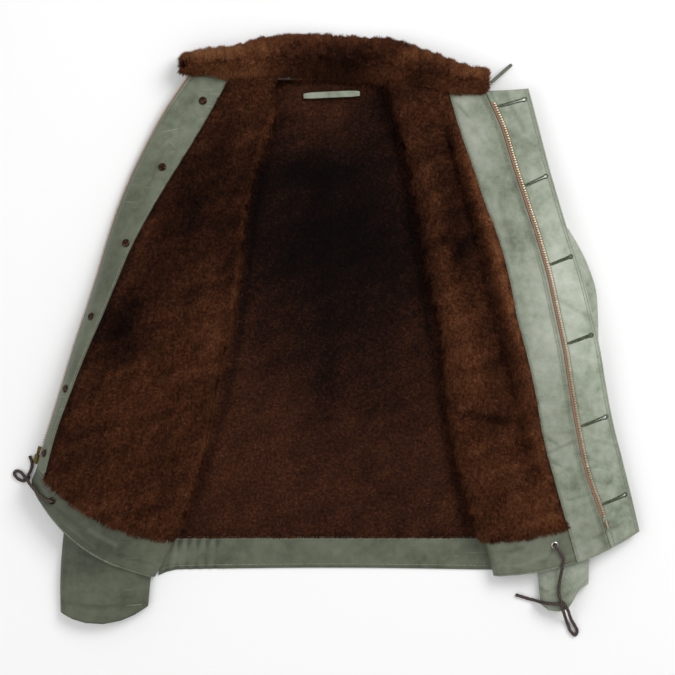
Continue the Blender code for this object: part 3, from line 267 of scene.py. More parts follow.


# ---- creases and fur forms

# From x, y to x, y in the picture's own pixels, then width and height in millimetres; a trough is negative.
LEATHER_FORMS = (
    (541, 455, 572, 442, 2.6, -1.0), (548, 474, 580, 461, 3.0, 0.9), (536, 432, 556, 444, 2.4, -0.7),
    (552, 462, 566, 470, 2.2, -0.8), (575, 470, 600, 464, 3.6, 0.8), (520, 282, 530, 330, 5.0, 0.8),
    (500, 208, 512, 250, 5.0, -0.7), (470, 120, 492, 152, 4.0, 0.7), (456, 104, 474, 124, 3.0, -0.8),
    (505, 96, 524, 132, 4.0, -0.6), (548, 210, 562, 246, 4.5, 0.6), (520, 210, 536, 232, 3.0, -0.5),
    (556, 300, 590, 318, 3.6, -0.6), (570, 372, 604, 388, 4.0, 0.6), (592, 440, 622, 448, 3.6, -0.6),
    (606, 520, 636, 508, 4.5, 0.9), (590, 540, 622, 524, 3.2, -0.8), (574, 528, 596, 546, 4.0, 0.7),
    (568, 500, 590, 494, 2.6, -0.7), (566, 486, 588, 480, 3.0, 0.6), (600, 470, 624, 480, 3.0, 0.5),
    (500, 556, 522, 548, 3.4, -1.0), (520, 566, 546, 556, 3.6, 0.9), (545, 562, 560, 540, 3.0, -0.8),
    (508, 566, 540, 569, 2.6, 0.6), (560, 562, 588, 548, 3.2, 0.8), (570, 568, 600, 556, 2.6, -0.6),
    (60, 512, 84, 530, 3.4, -1.0), (90, 530, 116, 545, 4.0, 0.9), (120, 555, 140, 562, 3.2, -0.9),
    (100, 546, 128, 562, 3.0, -0.8), (140, 548, 158, 566, 3.0, 0.8), (66, 524, 96, 548, 3.0, 0.6),
    (40, 482, 52, 500, 3.0, 0.6), (46, 500, 66, 516, 2.6, -0.6), (176, 110, 196, 96, 3.6, -0.7),
    (160, 150, 176, 134, 3.6, 0.7), (180, 128, 200, 120, 2.6, 0.5), (146, 190, 158, 166, 3.2, -0.7),
    (122, 238, 134, 214, 3.2, 0.6), (98, 300, 106, 274, 2.6, -0.5), (200, 78, 214, 92, 3.0, 0.6),
)
FUR_FORMS = (
    # the roll beside the left facing and the valley on its inner side
    (446, 104, 464, 150, 9.0, 2.4), (464, 150, 484, 220, 10.0, 3.0), (484, 220, 505, 300, 10.0, 3.2),
    (505, 300, 532, 400, 10.0, 3.0), (532, 400, 548, 470, 10.0, 2.2),
    (434, 108, 446, 150, 8.0, -3.0), (446, 150, 464, 220, 9.0, -4.2), (464, 220, 486, 300, 10.0, -4.4),
    (486, 300, 508, 380, 10.0, -3.8), (508, 380, 526, 440, 10.0, -2.6),
    (412, 130, 432, 210, 12.0, 1.8), (436, 260, 456, 350, 14.0, 2.0), (462, 380, 476, 440, 12.0, -2.4),
    (470, 412, 500, 424, 11.0, -3.2), (470, 452, 510, 500, 16.0, 2.2), (500, 500, 540, 486, 14.0, 1.6),
    (480, 520, 500, 536, 10.0, -1.6),
    # the right front
    (250, 120, 232, 200, 16.0, 1.8), (216, 150, 186, 220, 14.0, -2.0), (204, 250, 176, 330, 18.0, 2.0),
    (222, 300, 200, 400, 12.0, -1.6), (150, 270, 124, 340, 16.0, -1.8), (170, 380, 150, 460, 20.0, 2.2),
    (120, 380, 92, 440, 16.0, -1.6), (196, 430, 176, 500, 12.0, -1.8), (110, 460, 150, 500, 16.0, 1.6),
    (80, 440, 70, 470, 10.0, -1.4),
)
BACK_FORMS = (
    (300, 120, 306, 220, 16.0, -1.6), (350, 118, 368, 200, 20.0, 1.4), (330, 350, 326, 440, 12.0, -2.0),
    (318, 446, 344, 436, 7.0, 1.8), (290, 300, 280, 420, 20.0, 1.4), (380, 300, 386, 460, 16.0, -1.4),
    (354, 500, 368, 520, 10.0, -2.0), (260, 440, 250, 520, 18.0, 1.2), (400, 220, 416, 330, 14.0, -1.6),
    (300, 500, 330, 526, 16.0, 1.2), (420, 470, 440, 520, 14.0, 1.2),
)
# Painted sheen and shade in the fur's colour: where the nap lies towards the eye it looks dark, and away from
# it light, and its folds and hollows are darker. Each oval has its middle and half widths in pixels, its turn
# in degrees and its tone.
FUR_LIGHT_AND_SHADE = (
    # the back: painted shade below the shoulders, with a lighter patch by the neck and a lighter foot
    (300, 108, 60, 30, 0, 0.03), (378, 115, 26, 50, 0, -0.16), (312, 168, 46, 18, 0, -0.26),
    (262, 185, 14, 26, 0, -0.12), (335, 235, 110, 85, 0, -0.46), (330, 350, 100, 50, 0, -0.12),
    (328, 385, 18, 60, 0, -0.10), (390, 400, 40, 80, 0, -0.08), (262, 430, 44, 90, 4, 0.04),
    (357, 515, 10, 12, 0, -0.12), (320, 520, 16, 10, 0, -0.07), (290, 340, 30, 8, 10, 0.06),
    # the right front: painted shade beside the facing and in its folds, and painted light on its ridges
    (248, 130, 22, 40, -10, 0.00), (186, 215, 24, 95, -24, -0.17), (120, 330, 22, 40, -20, -0.26),
    (92, 440, 24, 40, -18, -0.06), (212, 330, 22, 90, -10, 0.10), (100, 500, 60, 22, 22, 0.05),
    (170, 470, 26, 50, -12, -0.02), (243, 200, 7, 90, -6, 0.05), (140, 300, 14, 10, 30, -0.08),
    # the left front: painted light on its roll beside the facing, painted shade in dark smudges along its
    # valley and a painted fold shadow across its lower part
    (405, 110, 16, 30, 10, 0.03), (484, 200, 12, 100, 15, 0.24), (447, 190, 8, 80, 15, -0.05),
    (445, 238, 7, 8, 0, -0.20), (458, 250, 6, 10, 0, -0.20), (472, 240, 6, 6, 0, -0.14),
    (430, 205, 14, 70, 12, 0.20), (458, 330, 16, 70, 12, 0.20), (516, 320, 10, 60, 14, 0.12),
    (498, 345, 10, 55, 14, -0.06), (484, 415, 22, 5, -8, -0.24), (538, 440, 10, 60, 12, 0.14),
    (490, 465, 34, 34, 0, 0.06), (530, 512, 40, 18, 0, 0.15),
)


def bands_of(table, scale):
    found = []
    for x1, y1, x2, y2, width, height in table:
        found.append((seen(x1, y1), seen(x2, y2), width * 0.001, height * 0.001 * scale))
    return found


def relief(bands, x, y):
    """Height of soft troughs and ridges at a place in plan."""
    total = 0.0
    for (ax, ay), (bx, by), width, height in bands:
        run_x, run_y = bx - ax, by - ay
        share = np.clip(((x - ax) * run_x + (y - ay) * run_y) / (run_x**2 + run_y**2), 0, 1)
        gap = (x - ax - share * run_x) ** 2 + (y - ay - share * run_y) ** 2
        total = total + height * np.exp(-gap / width**2)
    return total


LEATHER_BANDS = bands_of(LEATHER_FORMS, 1.0)
FUR_BANDS = bands_of(FUR_FORMS, 1.0)
BACK_BANDS = bands_of(BACK_FORMS, 1.0)
# The collar's broad light and dark fields, painted light and shade in its colour, with painted shade along the
# roll's lower edge; ovals as in the fur's table
COLLAR_LIGHT_AND_SHADE = (
    (205, 58, 30, 16, 0, 0.34), (252, 54, 26, 16, 0, 0.24), (315, 56, 34, 14, 0, -0.16),
    (300, 78, 90, 6, 0, -0.10),
    (356, 62, 34, 14, 8, -0.16), (330, 40, 60, 5, 0, 0.08), (400, 78, 40, 7, 8, -0.08),
    (425, 60, 44, 10, 14, 0.14),
    (450, 92, 34, 6, 10, -0.06), (470, 76, 20, 14, 0, 0.26), (215, 78, 30, 5, 0, -0.08),
)
# The hide's broad tones, in doublings of its lightness: partly its own tone and partly painted light and shade,
# lighter where light falls and darker where a piece lies in shade
HIDE_TONE_LIGHT_AND_SHADE = (
    (180, 110, 30, 40, -20, 0.25), (120, 250, 24, 70, -20, -0.55), (75, 400, 24, 90, -16, -0.35),
    (50, 500, 30, 30, 0, -0.2), (110, 545, 40, 26, -20, -0.15), (165, 560, 20, 20, 0, 0.25),
    (300, 555, 50, 24, 0, -0.1), (420, 555, 60, 24, 0, 0.15), (520, 560, 40, 20, 0, 0.2),
    (500, 160, 24, 60, 12, 0.0), (535, 300, 20, 90, 12, 0.15), (575, 440, 22, 50, 14, -0.05),
    (588, 530, 26, 24, 0, -0.25), (530, 120, 30, 50, 12, -0.15), (575, 300, 26, 90, 14, 0.35),
    (600, 415, 24, 50, 14, -0.05), (620, 510, 26, 30, 0, 0.05), (596, 350, 10, 60, 8, 0.2),
)


# Painted light and shade in fine streaks on the fur: ends in the picture's pixels, width in millimetres and
# tone
FUR_STREAKS_OF_LIGHT_AND_SHADOW = (
    # a painted highlight along the right front's fold, and the painted shadow that it throws on the back
    (271, 112, 253, 172, 3.2, 0.12), (253, 174, 244, 208, 3.2, 0.15), (244, 210, 238, 262, 3.2, 0.15),
    (238, 264, 229, 330, 3.2, 0.15), (229, 332, 212, 410, 3.2, 0.13), (212, 412, 186, 505, 3.2, 0.11),
    (283, 112, 264, 172, 5.0, -0.10), (264, 176, 255, 208, 5.0, -0.14), (255, 212, 249, 262, 5.0, -0.14),
    (249, 266, 240, 330, 5.0, -0.14), (240, 334, 223, 410, 5.0, -0.12), (223, 414, 196, 505, 5.0, -0.10),
    # painted shadow beside the left front's fold
    (392, 110, 402, 170, 5.0, -0.10), (404, 176, 418, 270, 5.0, -0.10), (420, 276, 434, 360, 5.0, -0.10),
    (435, 366, 447, 440, 5.0, -0.10), (448, 446, 466, 536, 5.0, -0.09),
    # painted light on the roll by the left facing and painted shade in the valley beside it
    (456, 120, 480, 200, 7.0, 0.12), (482, 206, 504, 292, 7.0, 0.12), (506, 298, 532, 390, 7.0, 0.12),
    (446, 130, 467, 215, 4.5, -0.12), (469, 221, 490, 306, 4.5, -0.12), (492, 312, 512, 396, 4.5, -0.10),
)
FUR_LIGHT_AND_SHADOW_LINES = bands_of(FUR_STREAKS_OF_LIGHT_AND_SHADOW, 1000.0)


def tone_at(x, y, table=FUR_LIGHT_AND_SHADE):
    total = relief(FUR_LIGHT_AND_SHADOW_LINES, x, y) if table is FUR_LIGHT_AND_SHADE else np.zeros_like(x)
    for column, line, across, down, turn, tone in table:
        cx, cy = seen(column, line)
        angle = math.radians(turn)
        u = (x - cx) * math.cos(angle) + (y - cy) * math.sin(angle)
        v = -(x - cx) * math.sin(angle) + (y - cy) * math.cos(angle)
        total += tone * np.exp(-((u / (across * PIXEL)) ** 2) - (v / (down * PIXEL)) ** 2)
    return total


# ---- tables read at any row


def straight(table, columns, name, at):
    column = columns.index(name)
    low = min(int(at), len(table) - 2)
    share = at - low
    return table[low][column] * (1 - share) + table[low + 1][column] * share


def smooth(table, columns, name, at):
    column = columns.index(name)
    last = len(table) - 1
    low = min(int(at), last - 1)
    share = at - low
    before, start, end, after = (table[min(max(low + step, 0), last)][column] for step in (-1, 0, 1, 2))
    bend = 2 * before - 5 * start + 4 * end - after
    twist = 3 * (start - end) + after - before
    return start + share * ((end - before) + share * (bend + share * twist)) / 2


def curve_through(points, at):
    last = len(points) - 1
    low = max(index for index in range(last) if index == 0 or points[index][0] <= at)
    span = points[low + 1][0] - points[low][0]
    share = (at - points[low][0]) / span

    def slope(index):
        first, second = max(index - 1, 0), min(index + 1, last)
        return (points[second][1] - points[first][1]) / (points[second][0] - points[first][0])

    start, end = points[low][1], points[low + 1][1]
    ease = share * share * (3 - 2 * share)
    lean = share * (1 - share) * ((1 - share) * slope(low) - share * slope(low + 1)) * span
    return start + (end - start) * ease + lean


class FrontRow:
    """One row across a front: its places in plan, and heights of the shell's middle."""

    def __init__(self, side, at):
        self.side = side
        self.at = at
        self.value = {name: smooth(FRONTS[side], FRONT_COLUMNS, name, at) for name in FRONT_COLUMNS}
        self.fold = Vector((self.value["fold_x"], self.value["fold_y"]))
        self.edge = Vector((self.value["edge_x"], self.value["edge_y"]))
        side_name = {"r": "right_x", "l": "left_x"}[side]
        self.seam = Vector(
            (straight(SIDE_LINE, SIDE_COLUMNS, side_name, at), straight(SIDE_LINE, SIDE_COLUMNS, "y", at))
        )
        run = self.edge - self.fold
        self.length = run.length
        self.out = run.normalized()
        self.down = Vector((self.out.y, -self.out.x))
        if self.down.y > 0:
            self.down = -self.down
        self.turn = self.fold + self.out * FOLD_REACH
        self.tape_reach = TAPE_REACH_TOP + (TAPE_REACH_HEM - TAPE_REACH_TOP) * at / HEM_ROW

    def placed(self, plan, height):
        return Vector((SIGN[self.side] * plan.x - ORIGIN_X, plan.y - ORIGIN_Y, height))

    def across(self, distance, height):
        share = distance / self.length
        bowed = 4 * share * (1 - share) * self.value["bow"]
        point = self.placed(self.fold + self.out * distance + self.down * bowed, height)
        rise = float(relief(LEATHER_BANDS, point.x, point.y))
        return point + Vector((0, 0, rise * min(1.0, max(0.0, distance / 0.03 - 0.5))))

    def facing_start(self):
        return self.length - self.value["facing"] - self.value["flap"]

    def zip_line(self):
        return self.length - self.value["flap"]

    def leg_point(self, share):
        """On the leg under the front, from its side seam (0) to the fold (1)."""
        leg = self.turn - self.seam
        near = min(0.008, 0.45 * leg.length) / leg.length
        flat = min(0.016, 0.72 * leg.length) / leg.length
        rises = ((0, SEAM_FOOT), (near, LOWER_LEG - 0.0012), (flat, LOWER_LEG), (1, LOWER_LEG))
        height = np.interp(share, [place for place, _ in rises], [rise for _, rise in rises])
        return self.placed(self.seam + leg * share, float(height))

    def turn_point(self, angle):
        reach = FOLD_RADIUS * math.cos(math.radians(angle))
        rise = FOLD_RADIUS * math.sin(math.radians(angle))
        return self.placed(self.turn - self.out * reach, LOWER_LEG + FOLD_RADIUS + rise)

    def pile_point(self, share):
        value = self.value
        heights = (
            (0.00, UPPER_LEG),
            (0.28, UPPER_LEG + 0.6 * (value["crest"] - UPPER_LEG)),
            (0.55, value["crest"]),
            (0.76, (value["crest"] + value["facing_z"]) / 2 - value["valley"]),
            (0.90, value["facing_z"] + 0.3 * value["valley"]),
            (1.00, value["facing_z"]),
        )
        distance = FOLD_REACH + (self.facing_start() - FOLD_REACH) * share
        return self.across(distance, curve_through(heights, share))

    def facing_point(self, share):
        value = self.value
        steepest = DROOP[self.side]
        angle = share * steepest
        along = math.sin(angle) / math.sin(steepest)
        drop = (1 - math.cos(angle)) / (1 - math.cos(steepest))
        height = value["facing_z"] + (value["zip_z"] - value["facing_z"]) * drop
        return self.across(self.facing_start() + value["facing"] * along, height)

    def flap_point(self, share):
        value = self.value
        height = value["zip_z"] + (value["edge_z"] - value["zip_z"]) * (0.45 * share + 0.55 * share**2)
        return self.across(self.zip_line() + value["flap"] * share, height)

    def tape_point(self, share):
        drop = 0.0052 * share - 0.0008 * share**2
        end = self.across(self.length, self.value["edge_z"])
        out = self.placed(self.out, 0) - self.placed(Vector((0, 0)), 0)
        return end + out * self.tape_reach * share - Vector((0, 0, drop))


@functools.lru_cache(maxsize=None)
def row_of(side, at):
    return FrontRow(side, at)


def on_facing(side):
    def point(at, share):
        at += FACING_SLANT * (1 - share) * min(1.0, max(0.0, 1 - at / 0.5))
        return row_of(side, round(at, 4)).facing_point(share)

    return point


def on_flap(at, share):
    """A place on the wind flap, along the slant of its buttonholes."""
    places = [0.0] + [row for row, _ in HOLES] + [HEM_ROW]
    slants = [0.0] + [slant for _, slant in HOLES] + [0.0]
    at += float(np.interp(at, places, slants)) * min(0.5 - share, 1.5 * max(share, 0))
    return row_of("l", round(at, 4)).flap_point(share)


def beside_zip(at, share):
    return row_of("l", round(at, 4)).flap_point(share)


def on_tape(at, share):
    return row_of("r", round(at, 4)).tape_point(share)


def on_band(side):
    """A place on a front's hem band, from the fold's end (0) to the facing's far edge (1)."""

    def point(at, share):
        row = row_of(side, round(at, 4))
        distance = row.length * share
        part = (distance - FOLD_REACH) / (row.facing_start() - FOLD_REACH)
        if part <= 1:
            return row.pile_point(part)
        return row.facing_point((distance - row.facing_start()) / row.value["facing"])

    return point


# ---- small helpers


def linear(text):
    """An sRGB hex colour as linear red, green, blue and alpha."""
    parts = [int(text[i:i + 2], 16) / 255 for i in (1, 3, 5)]
    return tuple(p / 12.92 if p <= 0.04045 else ((p + 0.055) / 1.055) ** 2.4 for p in parts) + (1.0,)


def add_node(material, kind, settings=None, links=None):
    """A node with its properties and sockets set by name or number, and its inputs linked."""
    node = material.node_tree.nodes.new("ShaderNode" + kind)
    properties = {key: value for key, value in (settings or {}).items() if hasattr(node, str(key))}
    for key, value in properties.items():
        setattr(node, key, value)
    for key, value in (settings or {}).items():
        if key not in properties:
            node.inputs[key].default_value = value
    for key, socket in (links or {}).items():
        material.node_tree.links.new(socket, node.inputs[key])
    return node


def new_material(name, settings):
    """A material, what adds a node to it, and what feeds a socket of its shader."""
    material = bpy.data.materials.new(name)
    material.use_nodes = True
    shader = material.node_tree.nodes["Principled BSDF"]
    for key, value in settings.items():
        shader.inputs[key].default_value = value

    def feed(key, socket):
        material.node_tree.links.new(socket, shader.inputs[key])

    return material, functools.partial(add_node, material), feed


def ramp(material, factor, stops):
    node = add_node(material, "ValToRGB", links={"Fac": factor})
    elements = node.color_ramp.elements
    while len(elements) < len(stops):
        elements.new(0.5)
    for element, (place, colour) in zip(elements, stops):
        element.position = place
        element.color = linear(colour) if isinstance(colour, str) else (colour, colour, colour, 1)
    return node.outputs["Color"]


def linked(name, mesh):
    thing = bpy.data.objects.new(name, mesh)
    bpy.context.scene.collection.objects.link(thing)
    return thing


def finish_piece(piece, material, stands_for=(), body="garment"):
    piece.data.materials.clear()
    piece.data.materials.append(material)
    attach(piece, body)
    if stands_for:
        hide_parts(*stands_for)
    return piece


def mesh_of(name, points, faces, uv=None, tint=None, smooth_faces=True):
    """A mesh from arrays of points and of faces with equally many corners. uv and tint are for each point."""
    mesh = bpy.data.meshes.new(name)
    points = np.asarray(points, np.float32)
    faces = np.asarray(faces, np.int32)
    count, corners = faces.shape
    mesh.vertices.add(len(points))
    mesh.vertices.foreach_set("co", points.ravel())
    mesh.loops.add(count * corners)
    mesh.loops.foreach_set("vertex_index", faces.ravel())
    mesh.polygons.add(count)
    mesh.polygons.foreach_set("loop_start", np.arange(0, count * corners, corners, dtype=np.int32))
    mesh.polygons.foreach_set("use_smooth", np.full(count, smooth_faces))
    if uv is not None:
        layer = mesh.uv_layers.new(name="cut")
        layer.uv.foreach_set("vector", np.asarray(uv, np.float32)[faces.ravel()].ravel())
    if tint is not None:
        colours = mesh.color_attributes.new("tint", "FLOAT_COLOR", "POINT")
        rgba = np.ones((len(points), 4), np.float32)
        rgba[:, :3] = tint
        colours.data.foreach_set("color", rgba.ravel())
    mesh.update(calc_edges=True)
    mesh.validate()
    return mesh


def tinted_mesh(name, points, polygons, uv, tint):
    """A smooth mesh of faces with any number of corners, with a map and a tint for each point."""
    mesh = bpy.data.meshes.new(name)
    mesh.from_pydata(points.tolist(), [], polygons)
    layer = mesh.uv_layers.new(name="cut")
    colours = mesh.color_attributes.new("tint", "FLOAT_COLOR", "POINT")
    index = np.empty(len(mesh.loops), np.int32)
    mesh.loops.foreach_get("vertex_index", index)
    layer.uv.foreach_set("vector", uv[index].astype(np.float32).ravel())
    colours.data.foreach_set(
        "color", np.concatenate([tint, np.ones((len(tint), 1))], 1).astype(np.float32).ravel())
    mesh.polygons.foreach_set("use_smooth", np.full(len(mesh.polygons), True))
    mesh.update()
    return mesh


def normals_of(grid):
    along = np.gradient(grid, axis=0)
    over = np.gradient(grid, axis=1)
    normal = np.cross(along, over)
    return normal / np.maximum(np.linalg.norm(normal, axis=2, keepdims=True), 1e-12)


def edged(grid, inset):
    """The grid with one more line near each border, so that its edge can be rounded."""

    def more(lines):
        first = lines[0] + (lines[1] - lines[0]) * share_of(lines[0], lines[1])
        last = lines[-1] + (lines[-2] - lines[-1]) * share_of(lines[-1], lines[-2])
        return np.concatenate([lines[:1], first[None], lines[1:-1], last[None], lines[-1:]])

    def share_of(here, there):
        gap = np.linalg.norm(there - here, axis=-1, keepdims=True)
        return np.minimum(inset / np.maximum(gap, 1e-9), 0.45)

    grid = more(grid)
    return np.swapaxes(more(np.swapaxes(grid, 0, 1)), 0, 1)


def lengths_of(grid):
    """How far each point lies along its row and its column, for a map in metres."""
    u = np.concatenate([np.zeros((len(grid), 1)), np.linalg.norm(np.diff(grid, axis=1), axis=2).cumsum(1)], 1)
    v = np.concatenate(
        [np.zeros((1, grid.shape[1])), np.linalg.norm(np.diff(grid, axis=0), axis=2).cumsum(0)], 0)
    return u, v


def flat_size(grid):
    u, v = lengths_of(grid)
    return float(u[:, -1].mean()), float(v[-1].mean())


def flat_area(grid):
    a, b, c, d = grid[:-1, :-1], grid[1:, :-1], grid[1:, 1:], grid[:-1, 1:]
    first = np.linalg.norm(np.cross(b - a, c - a), axis=2)
    second = np.linalg.norm(np.cross(c - a, d - a), axis=2)
    return float((first + second).sum() / 2)


def grid_quads(rows, columns, skip=None):
    corner = (np.arange(rows - 1)[:, None] * columns + np.arange(columns - 1)[None, :]).ravel()
    if skip is not None:
        corner = corner[~skip.ravel()]
    return np.stack([corner, corner + columns, corner + columns + 1, corner + 1], 1)


def border_quads(quads):
    """The border's directed edges of a set of quads."""
    edges = np.concatenate([quads[:, [i, (i + 1) % 4]] for i in range(4)])
    key = np.sort(edges, axis=1)
    _, index, count = np.unique(key, axis=0, return_inverse=True, return_counts=True)
    return edges[count[index.reshape(-1)] == 1]


def wall_quads(rows, columns, side=1, skip=None):
    """The faces of a closed double grid: its first sheet, its second one and the rim between them."""
    count = rows * columns
    faces = grid_quads(rows, columns, skip)
    edges = border_quads(faces)
    rim = np.stack([edges[:, 1], edges[:, 0], edges[:, 0] + count, edges[:, 1] + count], 1)
    if side > 0:
        return np.concatenate([faces, (faces + count)[:, ::-1], rim])
    return np.concatenate([faces[:, ::-1], faces + count, rim[:, ::-1]])


def twice(*layers):
    """Values of a grid's points, once for each of its two sheets."""
    flat = np.stack(layers, 2).reshape(-1, len(layers))
    return np.concatenate([flat, flat])


def shade_of(shade, grid, u, v, lines=()):
    """How light a piece is at each point: its shade value, the hide's broad tones with their painted light and
    shade, and lines along its edges.

    A line has an edge (start, end, top or foot), its distance from it, its half width and its tone."""
    total = np.full(u.shape, float(shade)) * np.exp2(tone_at(grid[..., 0], grid[..., 1], HIDE_TONE_LIGHT_AND_SHADE))
    gaps = {"start": u, "end": u[:, -1:] - u, "top": v, "foot": v[-1:] - v}
    for edge, distance, half, tone in lines:
        total = total * np.exp2(tone * np.exp(-(((gaps[edge] - distance) / half) ** 2)))
    return total


def sheet_mesh(
    name, grid, thickness, side=1, shade=0.5, skip=None, wear_reach=0.003, round_edge=True, lines=(),
):
    """A closed cloth wall about a grid, its borders rounded. side turns its first face.

    The tint holds the piece's lightness, partly painted light and shade, the wear at its edges and how deep a
    crease is, from which the hide paints shade in the troughs."""
    rounding = 0.0006
    if round_edge and skip is None:
        grid = edged(grid, rounding)
    rows, columns = grid.shape[:2]
    normal = normals_of(grid) * side
    half = np.full((rows, columns), thickness / 2)
    if round_edge:
        for line in (half[0], half[-1], half[:, 0], half[:, -1]):
            line *= 0.45
    top = grid + normal * half[..., None]
    low = grid - normal * half[..., None]
    u, v = lengths_of(grid)
    edge_gap = np.minimum(np.minimum(u, u[:, -1:] - u), np.minimum(v, v[-1:] - v))
    wear = np.exp(-np.maximum(edge_gap, 0) / wear_reach)
    rise = relief(LEATHER_BANDS, grid[..., 0], grid[..., 1]) * 420
    return mesh_of(
        name, np.concatenate([top.reshape(-1, 3), low.reshape(-1, 3)]), wall_quads(rows, columns, side, skip),
        twice(u, v), twice(shade_of(shade, grid, u, v, lines), wear, 0.5 + np.clip(rise, -0.5, 0.5)),
    )


def sewn(name, grid, thickness, material, slot, stands_for=(), **looks):
    """A sheet of cloth as a finished piece."""
    return finish_piece(linked(name, sheet_mesh(name, grid, thickness, **looks)), material, stands_for)


def trimmed(grid, top=0.0, bottom=0.0, start=0.0, end=0.0):
    grid = grid.copy()

    def towards(here, there, distance):
        run = there - here
        return here + run / np.maximum(np.linalg.norm(run, axis=-1, keepdims=True), 1e-9) * distance

    grid[:, 0] = towards(grid[:, 0], grid[:, 1], start)
    grid[:, -1] = towards(grid[:, -1], grid[:, -2], end)
    grid[0] = towards(grid[0], grid[1], top)
    grid[-1] = towards(grid[-1], grid[-2], bottom)
    return grid


def grid_from(function, rows, columns):
    return np.array([[tuple(function(at, share)) for share in columns] for at in rows])


def rows_between(first, last, steps):
    return [first + (last - first) * i / steps for i in range(steps + 1)]


def wavy(x, y, size, seed):
    """A soft, even disorder between -1 and 1, with bumps about as wide as size."""
    chance = np.random.default_rng(seed)
    total = np.zeros_like(x)
    for _ in range(7):
        angle = chance.uniform(0, 2 * math.pi)
        pitch = 2 * math.pi / (size * chance.uniform(0.8, 1.9))
        total += np.sin((x * math.cos(angle) + y * math.sin(angle)) * pitch + chance.uniform(0, 6.28))
    return np.clip(total / 3.2, -1, 1)


# ---- cords


def catmull(points, spacing):
    """Points at even spacing on a smooth curve through a route's own points."""
    table = [tuple(point) for point in points]
    dense = []
    steps = 14
    for index in range((len(table) - 1) * steps + 1):
        dense.append([smooth(table, ("x", "y", "z"), name, index / steps) for name in ("x", "y", "z")])
    dense = np.array(dense)
    travelled = np.concatenate([[0], np.linalg.norm(np.diff(dense, axis=0), axis=1).cumsum()])
    places = np.linspace(0, travelled[-1], max(2, round(travelled[-1] / spacing)) + 1)
    return np.stack([np.interp(places, travelled, dense[:, i]) for i in range(3)], 1)


def settled(points):
    return [(x - ORIGIN_X, y - ORIGIN_Y, z) for x, y, z in points]


def braided(name, route, radius, sides=14):
    """A tube with the lozenges of a round braid raised on it, closed at both ends."""
    along = np.gradient(route, axis=0)
    along /= np.linalg.norm(along, axis=1, keepdims=True)
    travelled = np.concatenate([[0], np.linalg.norm(np.diff(route, axis=0), axis=1).cumsum()])
    first = np.cross(along[0], (0.3, 0.2, 0.93))
    first /= np.linalg.norm(first)
    across = [first]
    for direction in along[1:]:
        side = across[-1] - direction * float(across[-1] @ direction)
        across.append(side / np.linalg.norm(side))
    across = np.array(across)
    other = np.cross(along, across)
    angle = np.arange(sides) * 2 * math.pi / sides
    strands = 4
    plait = 2 * math.pi / 0.0072
    one = np.sin(strands * angle[None, :] + plait * travelled[:, None])
    two = np.sin(strands * angle[None, :] - plait * travelled[:, None])
    raised = np.maximum(one, two)
    reach = radius * (0.90 + 0.10 * raised)
    ring = np.cos(angle)[None, :, None] * across[:, None, :] + np.sin(angle)[None, :, None] * other[:, None, :]
    points = route[:, None, :] + ring * reach[..., None]
    count = len(route)
    corner = np.arange(count - 1)[:, None] * sides
    here = np.arange(sides)[None, :]
    there = (here + 1) % sides
    faces = np.stack(
        [corner + here, corner + there, corner + sides + there, corner + sides + here], 2).reshape(-1, 4)
    ends = np.array([route[0] - along[0] * radius * 0.4, route[-1] + along[-1] * radius * 0.4])
    caps = []
    for ring_start, tip, turned in ((0, count * sides, True), ((count - 1) * sides, count * sides + 1, False)):
        for j in range(sides):
            face = [ring_start + j, ring_start + (j + 1) % sides, tip]
            caps.append(face[::-1] if turned else face)
    all_points = np.concatenate([points.reshape(-1, 3), ends])
    uv = np.stack([np.broadcast_to(angle[None, :] / (2 * math.pi), reach.shape),
                   np.broadcast_to(travelled[:, None], reach.shape)], 2).reshape(-1, 2)
    uv = np.concatenate([uv, [[0, 0], [0, travelled[-1]]]])
    # the tint paints light on the braid's raised crowns and shade in its hollows
    tint = np.repeat((0.5 + 0.5 * raised).reshape(-1, 1), 3, axis=1)
    tint = np.concatenate([tint, [[0.5] * 3] * 2])
    mesh = tinted_mesh(name, all_points, faces.tolist() + caps, uv, tint)
    mesh.validate()
    return linked(name, mesh)


def frame_at(surface, at, share, step=0.02):
    """A point of a surface, its normal to the eye's side and the direction to the hem."""
    point = surface(at, share)
    along = surface(at + step, share) - surface(at - step, share)
    over = surface(at, share + step) - surface(at, share - step)
    normal = along.cross(over).normalized()
    if normal.z < 0:
        normal = -normal
    return point, normal, along.normalized()


def cord_route(side):
    point, normal, _ = frame_at(on_band(side), EYELET_ROW[side], EYELET_PLACE[side], 0.05)
    foot = point + normal * (BAND / 2 + EYELET_LIFT)
    start = foot + normal * 0.0004
    rises = [start, foot + normal * 0.0020, foot + normal * 0.0042]
    knot = settled([CORD_KNOTS[side]])
    route = [tuple(p) for p in rises] + settled(CORD_LEADS[side]) + knot
    route += settled(CORD_LOOPS[side]) + knot + settled(CORD_TAILS[side])
    return start, route


def knot_route(centre, size, turn):
    """An overhand knot pulled tight, as a trefoil round its middle."""
    points = []
    for index in range(49):
        angle = 2 * math.pi * index / 48
        x = math.sin(angle) + 2 * math.sin(2 * angle)
        y = math.cos(angle) - 2 * math.cos(2 * angle)
        z = -math.sin(3 * angle)
        flat = Matrix.Rotation(turn, 3, "Z") @ Vector((x * size / 3, y * size / 3, z * size * 0.55))
        points.append(tuple(Vector(centre) + flat))
    return np.array(points[:-2])


# Waxed cotton, round-braided: painted light on the strands' crowns and painted shade, near black, in the
# hollows between them
cord_cotton, add, feed = new_material("waxed_cotton_braid", {"Roughness": 0.72, "Specular IOR Level": 0.35})
braid_light_and_shade = add("Attribute", {"attribute_name": "tint"})
feed("Base Color", ramp(
    cord_cotton, braid_light_and_shade.outputs["Fac"], ((0.0, "#050302"), (0.55, "#1e1714"), (1.0, "#5b4b43"))))

